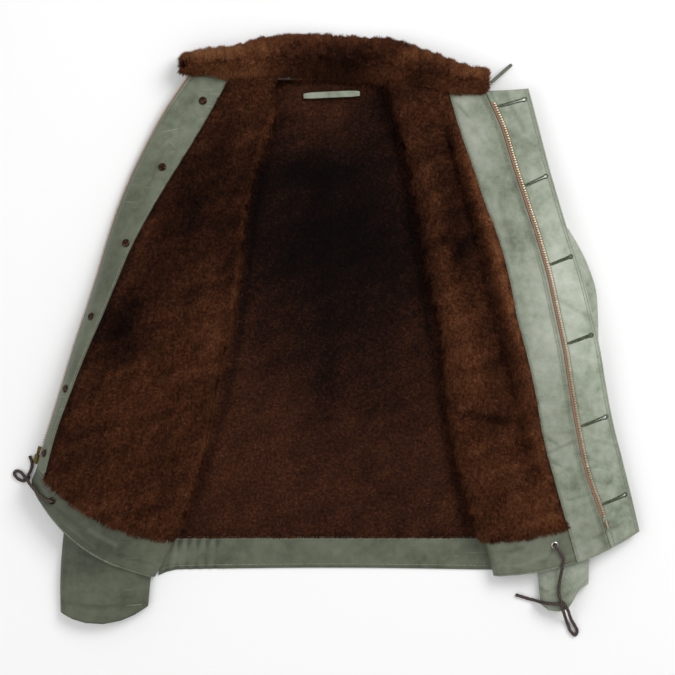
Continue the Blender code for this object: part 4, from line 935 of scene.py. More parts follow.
KNOT_TURN = {"r": 0.4, "l": 1.3}
for side in ("r", "l"):
    cord_start, cord_points = cord_route(side)
    route = catmull(cord_points, 0.0007)
    cord = braided(f"hem_cord_{side}", route, CORD / 2)
    finish_piece(cord, cord_cotton, (f"cord_{side}", f"cord_loop_{side}", f"cord_end_{side}"))
    knot = braided(
        f"hem_knot_{side}", knot_route(settled([CORD_KNOTS[side]])[0], 0.0032, KNOT_TURN[side]), 0.0021)
    finish_piece(knot, cord_cotton, (f"cord_knot_{side}",))
    tuple(cord_start)


# ---- finishes


def leather_finish():
    """Cowhide, vegetable tanned and drum-dyed green, then waxed: a soft, cloudy colour with a dull shine.

    Its grain is fine pebbles about 1 mm across. Worn edges and the backs of creases are paler, and
    scratches have lost their wax. The troughs of creases are painted darker as their shade, and each piece's
    lightness also holds painted light and shade."""
    material, add, feed = new_material("waxed_green_cowhide", {"IOR": 1.48, "Specular IOR Level": 0.42})
    place = add("TexCoord").outputs["Object"]
    tint = add("Attribute", {"attribute_name": "tint"})
    parts = add("SeparateColor", links={"Color": tint.outputs["Color"]})
    cloud = add("TexNoise", {"Scale": 11.0, "Detail": 5.0, "Roughness": 0.62}, {"Vector": place})
    blotch = add("TexNoise", {"Scale": 70.0, "Detail": 4.0, "Roughness": 0.6}, {"Vector": place})
    mixed = add("Math", {"operation": "MULTIPLY_ADD", 1: 0.55}, {0: cloud.outputs["Fac"]})
    speckle = add("Math", {"operation": "MULTIPLY", 1: 0.30}, {0: blotch.outputs["Fac"]})
    material.node_tree.links.new(speckle.outputs[0], mixed.inputs[2])
    tone = add("Math", {"operation": "MULTIPLY_ADD", 1: 1.35, 2: -0.067}, {0: mixed.outputs[0]})
    dye = ramp(material, tone.outputs[0], (
        (0.30, "#6c7560"), (0.42, "#98a18d"), (0.52, "#b0b8a6"), (0.62, "#c0c6b7"), (0.78, "#d9ddd2"),
    ))
    # the tint's red is each piece's lightness, partly painted light and shade; dark values are also made more
    # olive
    depth = ramp(material, parts.outputs["Red"], (
        (0.0, "#000000"), (0.15, "#6f7063"), (0.25, "#929389"), (0.42, "#c3c4c1"), (0.60, "#e7e7e7"),
    ))
    hide = add("Mix", {"data_type": "RGBA", "blend_type": "MULTIPLY", 0: 1.0},
                    {6: dye, 7: depth}).outputs[2]
    # scratches: thin, long and uneven, in two directions
    marks = None
    for turn, seed in ((0.6, 3.1), (-1.1, 9.4)):
        laid = add("Mapping", {"Location": (seed, seed, 0), "Rotation": (0, 0, turn),
                                              "Scale": (14.0, 420.0, 40.0)}, {"Vector": place})
        line = add("TexNoise", {"Scale": 1.0, "Detail": 2.0, "Distortion": 0.4},
                        {"Vector": laid.outputs["Vector"]})
        thin = ramp(material, line.outputs["Fac"], ((0.70, 0.0), (0.76, 1.0)))
        if marks is None:
            marks = thin
        else:
            marks = add("Math", {"operation": "MAXIMUM"}, {0: marks, 1: thin}).outputs[0]
    where = add("TexNoise", {"Scale": 9.0, "Detail": 1.0}, {"Vector": place})
    some = ramp(material, where.outputs["Fac"], ((0.46, 0.0), (0.62, 1.0)))
    scratch = add("Math", {"operation": "MULTIPLY"}, {0: marks, 1: some})
    faint = add("Math", {"operation": "MULTIPLY", 1: 0.28}, {0: scratch.outputs[0]})
    scratched = add("Mix", {"data_type": "RGBA", 7: linear("#bac3b3")}, {0: faint.outputs[0], 6: hide})
    rub = add("Math", {"operation": "MULTIPLY"}, {0: parts.outputs["Green"], 1: blotch.outputs["Fac"]})
    rubbed = add("Math", {"operation": "MULTIPLY", 1: 0.42}, {0: rub.outputs[0]})
    worn = add("Mix", {"data_type": "RGBA", 7: linear("#8b917d")},
                    {0: rubbed.outputs[0], 6: scratched.outputs[2]})
    # painted shade: darker in the troughs of creases
    trough = ramp(material, parts.outputs["Blue"], ((0.12, 0.34), (0.46, 0.0)))
    deep = add("Mix", {"data_type": "RGBA", 7: linear("#2f3627")}, {0: trough, 6: worn.outputs[2]})
    crest = ramp(material, parts.outputs["Blue"], ((0.56, 0.0), (0.95, 0.16)))
    final = add("Mix", {"data_type": "RGBA", 7: linear("#8f9785")}, {0: crest, 6: deep.outputs[2]})
    feed("Base Color", final.outputs[2])
    rough = add("MapRange", {"To Min": 0.42, "To Max": 0.66}, {"Value": blotch.outputs["Fac"]})
    feed("Roughness", rough.outputs[0])
    pebble = add("TexVoronoi", {"Scale": 850.0, "feature": "DISTANCE_TO_EDGE"}, {"Vector": place})
    rumple = add("TexNoise", {"Scale": 110.0, "Detail": 4.0, "Distortion": 0.5}, {"Vector": place})
    low = add("Bump", {"Strength": 0.35, "Distance": 0.0016}, {"Height": rumple.outputs["Fac"]})
    grain = add("Bump", {"Strength": 0.30, "Distance": 0.0003},
                     {"Height": pebble.outputs["Distance"], "Normal": low.outputs[0]})
    cut = add("Bump", {"Strength": 0.25, "Distance": 0.0002, "invert": True},
                   {"Height": scratch.outputs[0], "Normal": grain.outputs[0]})
    feed("Normal", cut.outputs[0])
    return material


def fur_finish():
    """Mouton, sheepskin that is sheared and ironed: dense and soft, with brown tips, and painted near black
    down towards the roots as the shade between the locks. The nap's painted sheen and shade give it broad dark
    and light fields, and a sheen stands for the grazing light."""
    material, add, feed = new_material("dyed_mouton_pile", {
        "Roughness": 0.80, "Specular IOR Level": 0.05, "Sheen Weight": 0.03, "Sheen Roughness": 0.5,
        "Sheen Tint": linear("#9a5a34"),
    })
    place = add("TexCoord").outputs["Object"]
    tint = add("Attribute", {"attribute_name": "tint"})
    parts = add("SeparateColor", links={"Color": tint.outputs["Color"]})
    cloud = add("TexNoise", {"Scale": 16.0, "Detail": 4.0}, {"Vector": place})
    # the tint's blue carries the nap's painted light and shade, its green each lock's own tone
    light = add("Math", {"operation": "MULTIPLY_ADD", 1: 0.26}, {0: parts.outputs["Green"],
                                                                             2: parts.outputs["Blue"]})
    drift = add("Math", {"operation": "MULTIPLY_ADD", 1: 0.3, 2: -0.31}, {0: cloud.outputs["Fac"]})
    tuft = add("TexNoise", {"Scale": 250.0, "Detail": 2.0}, {"Vector": place})
    clumped = add("Math", {"operation": "MULTIPLY_ADD", 1: 0.55, 2: -0.275}, {0: tuft.outputs["Fac"]})
    shifted = add("Math", {"operation": "ADD"}, {0: drift.outputs[0], 1: clumped.outputs[0]})
    tone = add("Math", {"operation": "ADD"}, {0: light.outputs[0], 1: shifted.outputs[0]})
    # painted shade: darker down towards each lock's root
    rise = add("Math", {"operation": "MULTIPLY_ADD", 1: 0.45, 2: 0.55}, {0: parts.outputs["Red"]})
    reach = add("Math", {"operation": "MULTIPLY"}, {0: tone.outputs[0], 1: rise.outputs[0]})
    hair = ramp(material, reach.outputs[0], (
        (0.00, "#080403"), (0.16, "#170b07"), (0.34, "#331b10"), (0.50, "#4f2d1b"), (0.70, "#75482d"),
        (1.00, "#a06e49"),
    ))
    feed("Base Color", hair)
    return material


def pelt_finish():
    """The lining's skin side: chrome-tanned sheepskin, dyed brown, soft and without shine."""
    material, add, feed = new_material("brown_sheepskin_suede", {"Roughness": 0.9, "Specular IOR Level": 0.2})
    place = add("TexCoord").outputs["Object"]
    nap = add("TexNoise", {"Scale": 240.0, "Detail": 3.0}, {"Vector": place})
    feed("Base Color", ramp(material, nap.outputs["Fac"], ((0.3, "#2a1710"), (0.7, "#4a2c1d"))))
    fuzz = add("Bump", {"Strength": 0.4, "Distance": 0.0004}, {"Height": nap.outputs["Fac"]})
    feed("Normal", fuzz.outputs[0])
    return material


def tape_finish():
    """Woven cotton zip tape, faded to a pinkish tan, its ribs 0.8 mm apart."""
    material, add, feed = new_material("cotton_zip_tape", {"Roughness": 0.88, "Specular IOR Level": 0.2})
    cut = add("UVMap", {"uv_map": "cut"})
    ribs = add("TexWave", {"wave_type": "BANDS", "bands_direction": "Y", "Scale": 400.0},
                    {"Vector": cut.outputs["UV"]})
    feed("Base Color", ramp(material, ribs.outputs["Fac"], ((0.0, "#6a4a3b"), (1.0, "#a88270"))))
    relief_node = add("Bump", {"Strength": 0.5, "Distance": 0.0002}, {"Height": ribs.outputs["Fac"]})
    feed("Normal", relief_node.outputs[0])
    return material


def metal_finish(name, dark, bright, roughness, scale):
    """Metal whose colour and roughness vary in blotches laid by a noise: darker, rougher tarnish and brighter,
    smoother spots.
    """
    material, add, feed = new_material(name, {"Metallic": 1.0})
    place = add("TexCoord").outputs["Object"]
    spots = add("TexNoise", {"Scale": scale, "Detail": 3.0}, {"Vector": place})
    feed("Base Color", ramp(material, spots.outputs["Fac"], ((0.35, dark), (0.62, bright))))
    rough = add("MapRange", {"To Min": roughness + 0.12, "To Max": roughness - 0.05},
                     {"Value": spots.outputs["Fac"]})
    feed("Roughness", rough.outputs[0])
    return material


def thread_finish(name, dark, light):
    """Spun polyester sewing thread, its twist too fine to show but for a change of tone along it."""
    material, add, feed = new_material(name, {"Roughness": 0.7, "Specular IOR Level": 0.35})
    place = add("TexCoord").outputs["Object"]
    twist = add("TexNoise", {"Scale": 700.0, "Detail": 1.0}, {"Vector": place})
    feed("Base Color", ramp(material, twist.outputs["Fac"], ((0.35, dark), (0.65, light))))
    return material


hide = leather_finish()
fur = fur_finish()
pelt = pelt_finish()
tape_cotton = tape_finish()
tooth_brass = metal_finish("pale_brass_teeth", "#b08a63", "#ecd2b0", 0.40, 900.0)
slider_brass = metal_finish("worn_brass_slider", "#2c2414", "#66562f", 0.38, 500.0)
button_metal = metal_finish("antiqued_dark_metal", "#120f0b", "#4a4234", 0.42, 450.0)
stud_copper = metal_finish("oxidised_copper_stud", "#110908", "#543a30", 0.38, 450.0)
eyelet_steel = metal_finish("nickel_plated_eyelet", "#8b8b86", "#d2d2cd", 0.22, 600.0)
seam_thread = thread_finish("sage_sewing_thread", "#5f6856", "#959c88")
hole_thread = thread_finish("green_buttonhole_thread", "#343b2b", "#687158")

# ---- back and its lining


def back_point(at, share, inset=0.0):
    low = -straight(SIDE_LINE, SIDE_COLUMNS, "right_x", at) + inset
    high = straight(SIDE_LINE, SIDE_COLUMNS, "left_x", at) - inset
    y = straight(SIDE_LINE, SIDE_COLUMNS, "y", at)
    return (low + (high - low) * share - ORIGIN_X, y - ORIGIN_Y)


def back_layer(rows, columns, height, inset):
    grid = np.zeros((len(rows), len(columns), 3))
    for i, at in enumerate(rows):
        for j, share in enumerate(columns):
            grid[i, j, :2] = back_point(at, share, inset)
    grid[..., 2] = height
    return grid


def declare(grid):
    width, length = (round(size, 3) for size in flat_size(grid))
    area = math.floor(min(flat_area(grid), width * length) * 10000) / 10000


shell_grid = back_layer(rows_between(0, 11, 44), rows_between(0, 1, 24), LEATHER / 2, 0.0)
back_hide = sewn("back_leather", shell_grid, LEATHER, hide, "leather", ("back_shell",), side=-1, shade=0.45)
declare(shell_grid)


def lock_mesh(points, normals, comb, chance, length, width, lean, tones, spread=0.6):
    """Locks of fur: each is one fine blade, leaning the way the nap is combed.

    Returns their points, faces, tints and shading normals. The tint is the height up the lock, which the fur
    turns into painted shade towards the root, its own chance tone and the nap's tone with its painted light and
    shade."""
    count = len(points)
    side = np.cross(normals, comb)
    side /= np.maximum(np.linalg.norm(side, axis=1, keepdims=True), 1e-9)
    forward = np.cross(side, normals)
    turn = chance.normal(0, spread, count)
    heading = forward * np.cos(turn)[:, None] + side * np.sin(turn)[:, None]
    tilt = np.clip(lean + chance.normal(0, 0.14, count), 0.15, 1.40)
    reach = length * chance.uniform(0.75, 1.12, count)
    ahead = heading * np.sin(tilt)[:, None] + normals * np.cos(tilt)[:, None]
    tip = points + ahead * reach[:, None]
    beside = np.cross(ahead, normals)
    beside /= np.maximum(np.linalg.norm(beside, axis=1, keepdims=True), 1e-9)
    half = (width * chance.uniform(0.7, 1.25, count) / 2)[:, None]
    left, right = points + beside * half, points - beside * half
    outward = (np.cross(left - right, tip - right) * normals).sum(1) > 0
    first, second = np.where(outward[:, None], right, left), np.where(outward[:, None], left, right)
    vertices = np.stack([first, second, tip], 1).reshape(-1, 3)
    faces = np.arange(count * 3).reshape(-1, 3)
    own = chance.uniform(0.25, 1.0, count)
    height = np.broadcast_to(np.array([0.30, 0.30, 1.0]), (count, 3))
    tint = np.stack(
        [height, np.broadcast_to(own[:, None], (count, 3)), np.broadcast_to(tones[:, None], (count, 3))], 2)
    soft = normals * 0.85 + heading * 0.35 + chance.normal(0, 0.16, (count, 3))
    soft /= np.linalg.norm(soft, axis=1, keepdims=True)
    return vertices, faces, tint.reshape(-1, 3), np.repeat(soft, 3, axis=0)


def furred(name, body, faces, body_tint, grown, spikes, tint, soft):
    """A pad of fur with its blades, which shade as the pile they stand in does. The pad keeps its normals.

    Its second map lays out every face by its place in plan."""
    points = np.concatenate([body, grown])
    mesh = mesh_of(name, points, np.concatenate([faces, spikes + len(body)]), points[:, :2],
                   np.concatenate([body_tint, tint]))
    mesh.normals_split_custom_set_from_vertices(np.concatenate([np.zeros((len(body), 3)), soft]).tolist())
    pile = finish_piece(linked(name, mesh), fur)
    layer = mesh.uv_layers.new(name="OFBake", do_init=False)
    index = np.empty(len(mesh.loops), np.int32)
    mesh.loops.foreach_get("vertex_index", index)
    points = np.empty(len(mesh.vertices) * 3, np.float32)
    mesh.vertices.foreach_get("co", points)
    plan = points.reshape(-1, 3)[:, :2]
    low, span = plan.min(0), np.ptp(plan, axis=0)
    layer.uv.foreach_set("vector", (((plan - low) / span) * 0.998 + 0.001)[index].ravel())
    return pile


def scattered(grid, chance, count, rows, columns):
    """Chance places on part of a grid, evenly by area: points, normals, directions to the hem and cells."""
    cells = grid[rows[0]:rows[1], columns[0]:columns[1]]
    normal = normals_of(grid)[rows[0]:rows[1], columns[0]:columns[1]]
    a, b, d = cells[:-1, :-1], cells[1:, :-1], cells[:-1, 1:]
    area = np.linalg.norm(np.cross(b - a, d - a), axis=2).ravel()
    cell = chance.choice(len(area), count, p=area / area.sum())
    i, j = np.divmod(cell, a.shape[1])
    s, t = chance.random(count)[:, None], chance.random(count)[:, None]
    p = cells[i, j] * (1 - s) * (1 - t) + cells[i + 1, j] * s * (1 - t)
    p = p + cells[i, j + 1] * (1 - s) * t + cells[i + 1, j + 1] * s * t
    n = normal[i, j] * (1 - s) * (1 - t) + normal[i + 1, j] * s * (1 - t)
    n = n + normal[i, j + 1] * (1 - s) * t + normal[i + 1, j + 1] * s * t
    n /= np.maximum(np.linalg.norm(n, axis=1, keepdims=True), 1e-9)
    down = cells[i + 1, j] - cells[i, j]
    down /= np.maximum(np.linalg.norm(down, axis=1, keepdims=True), 1e-9)
    return p, n, down, (i + s[:, 0] + rows[0], j + t[:, 0] + columns[0])


def pile_piece(name, floor, ground, side, chance, count, rows, columns, comb, length=0.0070, width=0.0014,
               lean=1.02, spread=0.40, light=0.5, ends=None):
    """A fur pile: a dense pad from the skin up to its ground, and locks that stand out of that.

    floor and ground are grids of the same shape. ends gives, for the cells of the locks, how near they
    are to a neat edge, where they lie short and are painted darker as the shade beside it, and to a shaggy one,
    where they hang over."""
    quads = wall_quads(*ground.shape[:2], side)
    pad = np.concatenate([quads[:, [0, 1, 2]], quads[:, [0, 2, 3]]])
    pad_points = np.concatenate([ground.reshape(-1, 3), floor.reshape(-1, 3)])
    p, n, down, cell = scattered(ground, chance, count, rows, columns)
    n = n * side
    neat, shaggy = (np.zeros(count), np.zeros(count)) if ends is None else ends(*cell)
    direction = comb(p, down, neat)
    calm = 1 - 0.8 * neat
    drift = (wavy(p[:, 0], p[:, 1], 0.030, 5) * 0.45 + wavy(p[:, 0], p[:, 1], 0.009, 6) * 0.35) * calm
    beside = np.cross(n, direction)
    direction = direction * np.cos(drift)[:, None] + beside * np.sin(drift)[:, None]
    clump = wavy(p[:, 0] + p[:, 2], p[:, 1], 0.011, 8)
    # the nap's tone: painted light and shade, clumps and drift, and painted shade by a neat edge
    tones = (
        light + tone_at(p[:, 0], p[:, 1]) + 0.05 * clump + 0.05 * wavy(p[:, 0], p[:, 1], 0.026, 9) - 0.22 * neat
    )
    reach = length * (1 + 0.12 * clump) * (1 - 0.40 * neat) * (1 + shaggy)
    grown, spikes, tint, soft = lock_mesh(
        p - n * 0.0006, n, direction, chance, reach, width, lean - 0.10 * clump + 0.25 * neat + 0.2 * shaggy,
        tones, spread * calm
    )
    # painted shade: the pad under the locks is darker, as at their roots
    ground_tone = light - 0.06 + tone_at(pad_points[:, 0], pad_points[:, 1])
    pad_tint = np.stack([np.full(len(pad_points), 0.42), np.full(len(pad_points), 0.5), ground_tone], 1)
    return furred(name, pad_points, pad, pad_tint, grown, spikes, tint, soft)


def fold_x(side, y):
    """How far out the front's fold lies at a height up the jacket."""
    rows = [row_of(side, at) for at in rows_between(0, 12, 48)]
    ys = np.array([row.fold.y - ORIGIN_Y for row in rows])[::-1]
    xs = np.array([row.fold.x for row in rows])[::-1]
    return np.interp(y, ys, xs)


skin_base = LEATHER + SEAM_GAP
lining_rows = rows_between(0, 11, 110)
lining_columns = rows_between(0, 1, 66)
skin_grid = back_layer(lining_rows, lining_columns, skin_base + PELT / 2, 0.004)
# the skins under fur need only every second row and column
back_skin = sewn("back_lining_skin", skin_grid[::2, ::2], PELT, pelt, "fur", ("lining_back",), side=-1,
                 shade=0.5)
pad_floor = skin_grid.copy()
pad_floor[..., 2] = skin_base + PELT
pad_ground = skin_grid.copy()
edge_rows = np.minimum(np.arange(len(lining_rows)), np.arange(len(lining_rows))[::-1])
edge_columns = np.minimum(np.arange(len(lining_columns)), np.arange(len(lining_columns))[::-1])
border = np.minimum(np.minimum.outer(edge_rows, edge_columns) / 2.0, 1.0)
under_fronts = np.zeros_like(border)
for i in range(border.shape[0]):
    y = pad_ground[i, 0, 1]
    right = -fold_x("r", y) - ORIGIN_X
    left = fold_x("l", y) - ORIGIN_X
    under_fronts[i] = (pad_ground[i, :, 0] < right) | (pad_ground[i, :, 0] > left)
ground_rise = PAD_SHARE * PILE * (0.55 + 0.45 * border)
lumps = LUMP * wavy(pad_ground[..., 0], pad_ground[..., 1], 0.016, 21)
form = relief(BACK_BANDS, pad_ground[..., 0], pad_ground[..., 1])
pad_ground[..., 2] = (
    skin_base + PELT * 0.5 + ground_rise + np.where(under_fronts > 0, 0, (lumps + form) * border)
)
BACK_LOCKS = 112000


def back_comb(p, down, _):
    """The back's nap lies to the hem, and spreads a little to both sides."""
    fan = np.zeros_like(down)
    fan[:, 0] = 0.25 * np.clip(p[:, 0] / 0.15, -1, 1)
    fan[:, 1] = -1
    return fan / np.linalg.norm(fan, axis=1, keepdims=True)


# only the part between the folds shows; locks that would grow under a front are left out of the draw
visible_columns = (
    max(0, int(np.argmax(under_fronts.min(axis=0) == 0)) - 1),
    len(lining_columns) - max(0, int(np.argmax(under_fronts.min(axis=0)[::-1] == 0)) - 1),
)
pile_piece(
    "back_fur", pad_floor, pad_ground, -1, np.random.default_rng(11), BACK_LOCKS, (0, len(lining_rows)),
    visible_columns, back_comb, width=0.0019, light=0.50,
)
declare(skin_grid)


# ---- hem band of the back


def back_band_grids():
    left_end = -straight(SIDE_LINE, SIDE_COLUMNS, "right_x", BAND_ROW)
    right_end = straight(SIDE_LINE, SIDE_COLUMNS, "left_x", BAND_ROW)
    hem_left = -straight(SIDE_LINE, SIDE_COLUMNS, "right_x", HEM_ROW)
    hem_right = straight(SIDE_LINE, SIDE_COLUMNS, "left_x", HEM_ROW)
    places = np.concatenate([
        np.linspace(left_end, GATHER_START, 8)[:-1], np.linspace(GATHER_START, GATHER_END, 61)[:-1],
        np.linspace(GATHER_END, right_end, 80),
    ])
    shares = np.linspace(0, 1, 17)
    across = (places - left_end) / (right_end - left_end)
    low = np.zeros((len(shares), len(places), 3))
    for i, share in enumerate(shares):
        low[i, :, 0] = places + share * (
            (hem_left - left_end) * (1 - across) + (hem_right - right_end) * across)
        bow = 0.003 * np.sin(math.pi * across)
        sag = HEM_SAG * np.maximum(0, 1 - (places - left_end) / HEM_SAG_REACH) ** 2
        low[i, :, 1] = BACK_BAND_TOP - TRIM + (BACK_BAND_HEM + bow - sag - BACK_BAND_TOP) * share
    low[..., 0] -= ORIGIN_X
    low[..., 1] -= ORIGIN_Y
    turn = (places - GATHER_START) / (GATHER_END - GATHER_START) * GATHERS
    inside = (places >= GATHER_START) & (places <= GATHER_END)
    pucker = np.where(inside, GATHER_DEPTH * (0.5 - 0.5 * np.cos(2 * math.pi * turn)), 0)
    high = low.copy()
    roll = 0.0005 * np.sin(np.linspace(0, math.pi, len(shares)))
    high[..., 2] = BAND - pucker[None, :] * (0.7 + 0.3 * np.cos(shares * 5)[:, None]) - 0.0004 + roll[:, None]
    high[0, :, 2] -= 0.0007
    high[-1, :, 2] -= 0.0009
    return low, high


# painted shade: darker lines by both rows of stitching and along the top edge under the fur; and a pale line at
# the hem's edge
BAND_LINES = (
    ("top", 0.0028, 0.0012, -0.5), ("foot", 0.0030, 0.0012, -0.5), ("top", 0.0, 0.0016, -0.6),
    ("foot", 0.0004, 0.0009, 0.4),
)


def slab_mesh(name, low, high, shade):
    """A closed double sheet between two grids with the same rows and columns."""
    u, v = lengths_of(high)
    gap = np.minimum(np.minimum(u, u[:, -1:] - u), np.minimum(v, v[-1:] - v))
    # painted shade: the gathers' troughs are darkened
    gather_light = np.clip((high[..., 2] - BAND) / 0.0009 + 1.5, 0, 1)  # where the gathers dip
    shades = shade_of(shade, high, u, v, BAND_LINES) * (0.45 + 0.55 * gather_light)
    return mesh_of(
        name, np.concatenate([high.reshape(-1, 3), low.reshape(-1, 3)]), wall_quads(*low.shape[:2]),
        twice(u, v), twice(shades, np.exp(-gap / 0.003), np.full(u.shape, 0.5)),
    )


band_low, band_high = back_band_grids()
back_band = linked("back_hem_band", slab_mesh("back_hem_band", band_low, band_high, 0.185))
finish_piece(back_band, hide, ("hem_band_back",))
declare(band_high)

# ---- fronts

LEG_SHARES = rows_between(0, 0.96, 9)
TURN_ANGLES = rows_between(-90, 90, 10)
PILE_SHARES = rows_between(0.04, 1, 44)
FACING_SHARES = rows_between(0, 1, 30)
FINE_ROWS = rows_between(0, BAND_ROW, 154)


def shell_grid_of(side):
    lines = []
    for at in rows_between(0, BAND_ROW, 110):
        row = row_of(side, round(at, 4))
        line = [row.leg_point(share) for share in LEG_SHARES]
        line += [row.turn_point(angle) for angle in TURN_ANGLES]
        line += [row.pile_point(share) for share in PILE_SHARES[::2]]
        line += [row.facing_point(share) for share in FACING_SHARES[2::2]]
        lines.append([tuple(point) for point in line])
    return np.array(lines)


def lining_grid_of(side):
    lines = []
    for at in FINE_ROWS:
        row = row_of(side, round(at, 4))
        line = [row.leg_point(share) for share in rows_between(0.62, 0.96, 4)]
        line += [row.turn_point(angle) for angle in TURN_ANGLES]
        line += [row.pile_point(share) for share in PILE_SHARES]
        lines.append([tuple(point) for point in line])
    return np.array(lines)


FRONT_LOCKS = {"r": 100000, "l": 89000}
for side in ("r", "l"):
    grid = shell_grid_of(side)
    turned = SIGN[side]
    shell = sewn(f"front_leather_{side}", trimmed(grid, bottom=TRIM, end=TRIM), LEATHER, hide, "leather",
                 (f"front_shell_{side}",), side=-turned, shade=0.42)
    declare(grid)

    lining = trimmed(lining_grid_of(side), bottom=TRIM, end=TRIM)
    normal = normals_of(lining) * turned
    skin_middle = lining + normal * (LEATHER / 2 + SEAM_GAP + PELT / 2)
    skin = sewn(f"front_lining_skin_{side}", skin_middle[::2, ::2], PELT, pelt, "fur",
                (f"lining_front_{side}",), side=-turned, shade=0.5)
    floor = lining + normal * (LEATHER / 2 + SEAM_GAP + PELT)
    columns_n = lining.shape[1]
    turn_start = 5
    rise = np.full(lining.shape[:2], PILE)
    rise[:, :turn_start] = PRESSED_PILE
    for step in range(len(TURN_ANGLES)):
        share = step / (len(TURN_ANGLES) - 1)
        rise[:, turn_start + step] = PRESSED_PILE + (PILE - PRESSED_PILE) * min(1, share * 2.2)
    rows_n = lining.shape[0]
    from_end = np.minimum(np.arange(columns_n)[::-1] / 3.0, 1.0)
    from_hem = np.minimum(np.minimum(np.arange(rows_n), np.arange(rows_n)[::-1]) / 3.0, 1.0)
    taper = 0.45 + 0.55 * np.minimum.outer(from_hem, from_end)
    hidden = np.arange(columns_n) < turn_start + 4
    rise = np.where(hidden[None, :], rise, rise * PAD_SHARE)
    form = relief(FUR_BANDS, floor[..., 0], floor[..., 1])
    lumps = LUMP * wavy(floor[..., 0], floor[..., 1], 0.016, 31)
    settle = np.where(hidden[None, :], 0, form + lumps) * taper
    settle *= np.minimum(1, np.maximum(0, (np.arange(columns_n) - turn_start - 8) / 6.0))[None, :]
    ground = floor + normal * (np.maximum(rise * taper - PELT, 0.0008))[..., None]
    ground[..., 2] += np.maximum(settle, 0.0010 - rise * taper)
    shown_from = turn_start + 4

    def front_comb(_, down, neat, sign=turned):
        """The nap lies to the hem, and turns outwards a little until it nears the facing."""
        lean_out = down.copy()
        lean_out[:, 0] += (0.20 - 0.42 * neat) * sign
        return lean_out / np.linalg.norm(lean_out, axis=1, keepdims=True)

    def front_ends(across_rows, across_columns, shag={"r": 0.42, "l": 0.28}[side]):
        neat = np.clip(1 - (columns_n - 1 - across_columns) / 3.5, 0, 1)
        foot = np.clip(1 - (rows_n - 1 - across_rows) / 4.0, 0, 1)
        return neat * (1 - foot), foot * shag

    pile_piece(
        f"front_fur_{side}", floor, ground, turned, np.random.default_rng({"r": 12, "l": 13}[side]),
        FRONT_LOCKS[side], (0, rows_n), (shown_from, columns_n), front_comb, width=0.00165, light=0.50,
        ends=front_ends,
    )
    declare(skin_middle)

# facings
for side in ("r", "l"):
    turned = SIGN[side]
    last = BAND_ROW if side == "r" else HEM_ROW
    rows = rows_between(0, last, 240)

    def rounded(at, share, place=on_facing(side), radius={"r": 0.0090, "l": 0.0020}[side]):
        """The facing's upper corner at the fur is cut round."""
        left = max(radius - at * ROW_LENGTH, 0.0)
        cut = radius - math.sqrt(radius**2 - left**2)
        return place(at, share + (1 - share) * cut / FACING_WIDTH)

    grid = grid_from(rounded, rows, FACING_SHARES)
    normal = normals_of(grid) * turned
    lift = np.full(len(rows), LEATHER + SEAM_GAP)
    if side == "l":
        over = np.clip((np.array(rows) - 10.9) / 0.2, 0, 1)
        lift = lift + over * (BAND - LEATHER) / 2
    strip = trimmed(grid + normal * lift[:, None, None], bottom=TRIM, start=TRIM, end=TRIM)
    # painted shade: darker lines by the stitching, at the edge by the fur and at the zip's seam; on the right,
    # a pale line by its zip edge
    lines = [("start", 0.0030, 0.0012, -0.35), ("start", 0.0, 0.0018, -0.5), ("end", 0.0038, 0.0014, -0.7)]
    if side == "r":
        lines += [("end", 0.0012, 0.0012, 0.5)]
    else:
        lines += [("end", 0.0070, 0.0012, -0.35), ("end", 0.0, 0.0014, -0.6)]
    # both facings are one hide: the right one's lower shade value is partly painted shade, as it lies away from
    # the light
    facing = sewn(f"facing_leather_{side}", strip, LEATHER, hide, "leather", (f"facing_{side}",), side=turned,
                  shade={"r": 0.245, "l": 0.40}[side], lines=lines)
    declare(strip)

# the facings' long scratches, pale where the wax is gone: ends in the picture's pixels, width in millimetres
SCRATCHES = (
    ("r", 158.7, 132.5, 185.0, 127.5, 0.55), ("r", 168.7, 141.0, 176.0, 147.5, 0.50),
    ("r", 170.0, 152.0, 175.0, 151.5, 0.4),
    ("r", 125.0, 201.0, 136.0, 202.5, 0.50), ("r", 145.0, 187.5, 150.0, 188.2, 0.40),
    ("r", 201.0, 120.0, 203.7, 117.6, 0.5),
    ("r", 163.0, 137.0, 170.0, 134.5, 0.35), ("r", 149.0, 181.0, 151.5, 176.0, 0.35),
    ("l", 483.8, 125.0, 495.0, 126.0, 0.6),
    ("l", 487.5, 152.5, 499.5, 141.5, 0.5), ("l", 484.0, 189.0, 491.0, 187.0, 0.4),
    ("l", 497.0, 190.0, 505.0, 191.5, 0.5),
    ("l", 503.0, 210.0, 510.0, 209.0, 0.4), ("l", 500.0, 244.0, 503.0, 248.0, 0.4),
    ("l", 557.0, 470.0, 566.0, 478.0, 0.4),
)
scratch_chance = np.random.default_rng(23)
points, faces = [], []
for side, x1, y1, x2, y2, wide in SCRATCHES:
    mesh = bpy.data.objects[f"facing_leather_{side}"].data
    skin_of = BVHTree.FromPolygons([v.co for v in mesh.vertices], [tuple(p.vertices) for p in mesh.polygons])
    (ax, ay), (bx, by) = seen(x1, y1), seen(x2, y2)
    run = Vector((bx - ax, by - ay, 0))
    beside = Vector((-run.y, run.x, 0)).normalized() * wide * 0.0005
    sway = scratch_chance.uniform(-0.0006, 0.0006)
    for step in range(9):
        share = step / 8
        centre = Vector((ax, ay, 0.2)) + run * share + beside.normalized() * sway * math.sin(math.pi * share)
        for turn in (-1, 1):
            spot = centre + beside * turn * (0.15 + 0.85 * math.sin(math.pi * share))
            hit = skin_of.ray_cast(spot, Vector((0, 0, -1)))[0]
            points.append(tuple(hit + Vector((0, 0, 0.00008))) if hit else (spot.x, spot.y, 0.0))
        if step:
            last_four = len(points) - 4
            faces.append((last_four, last_four + 1, last_four + 3, last_four + 2))
points = np.array(points)
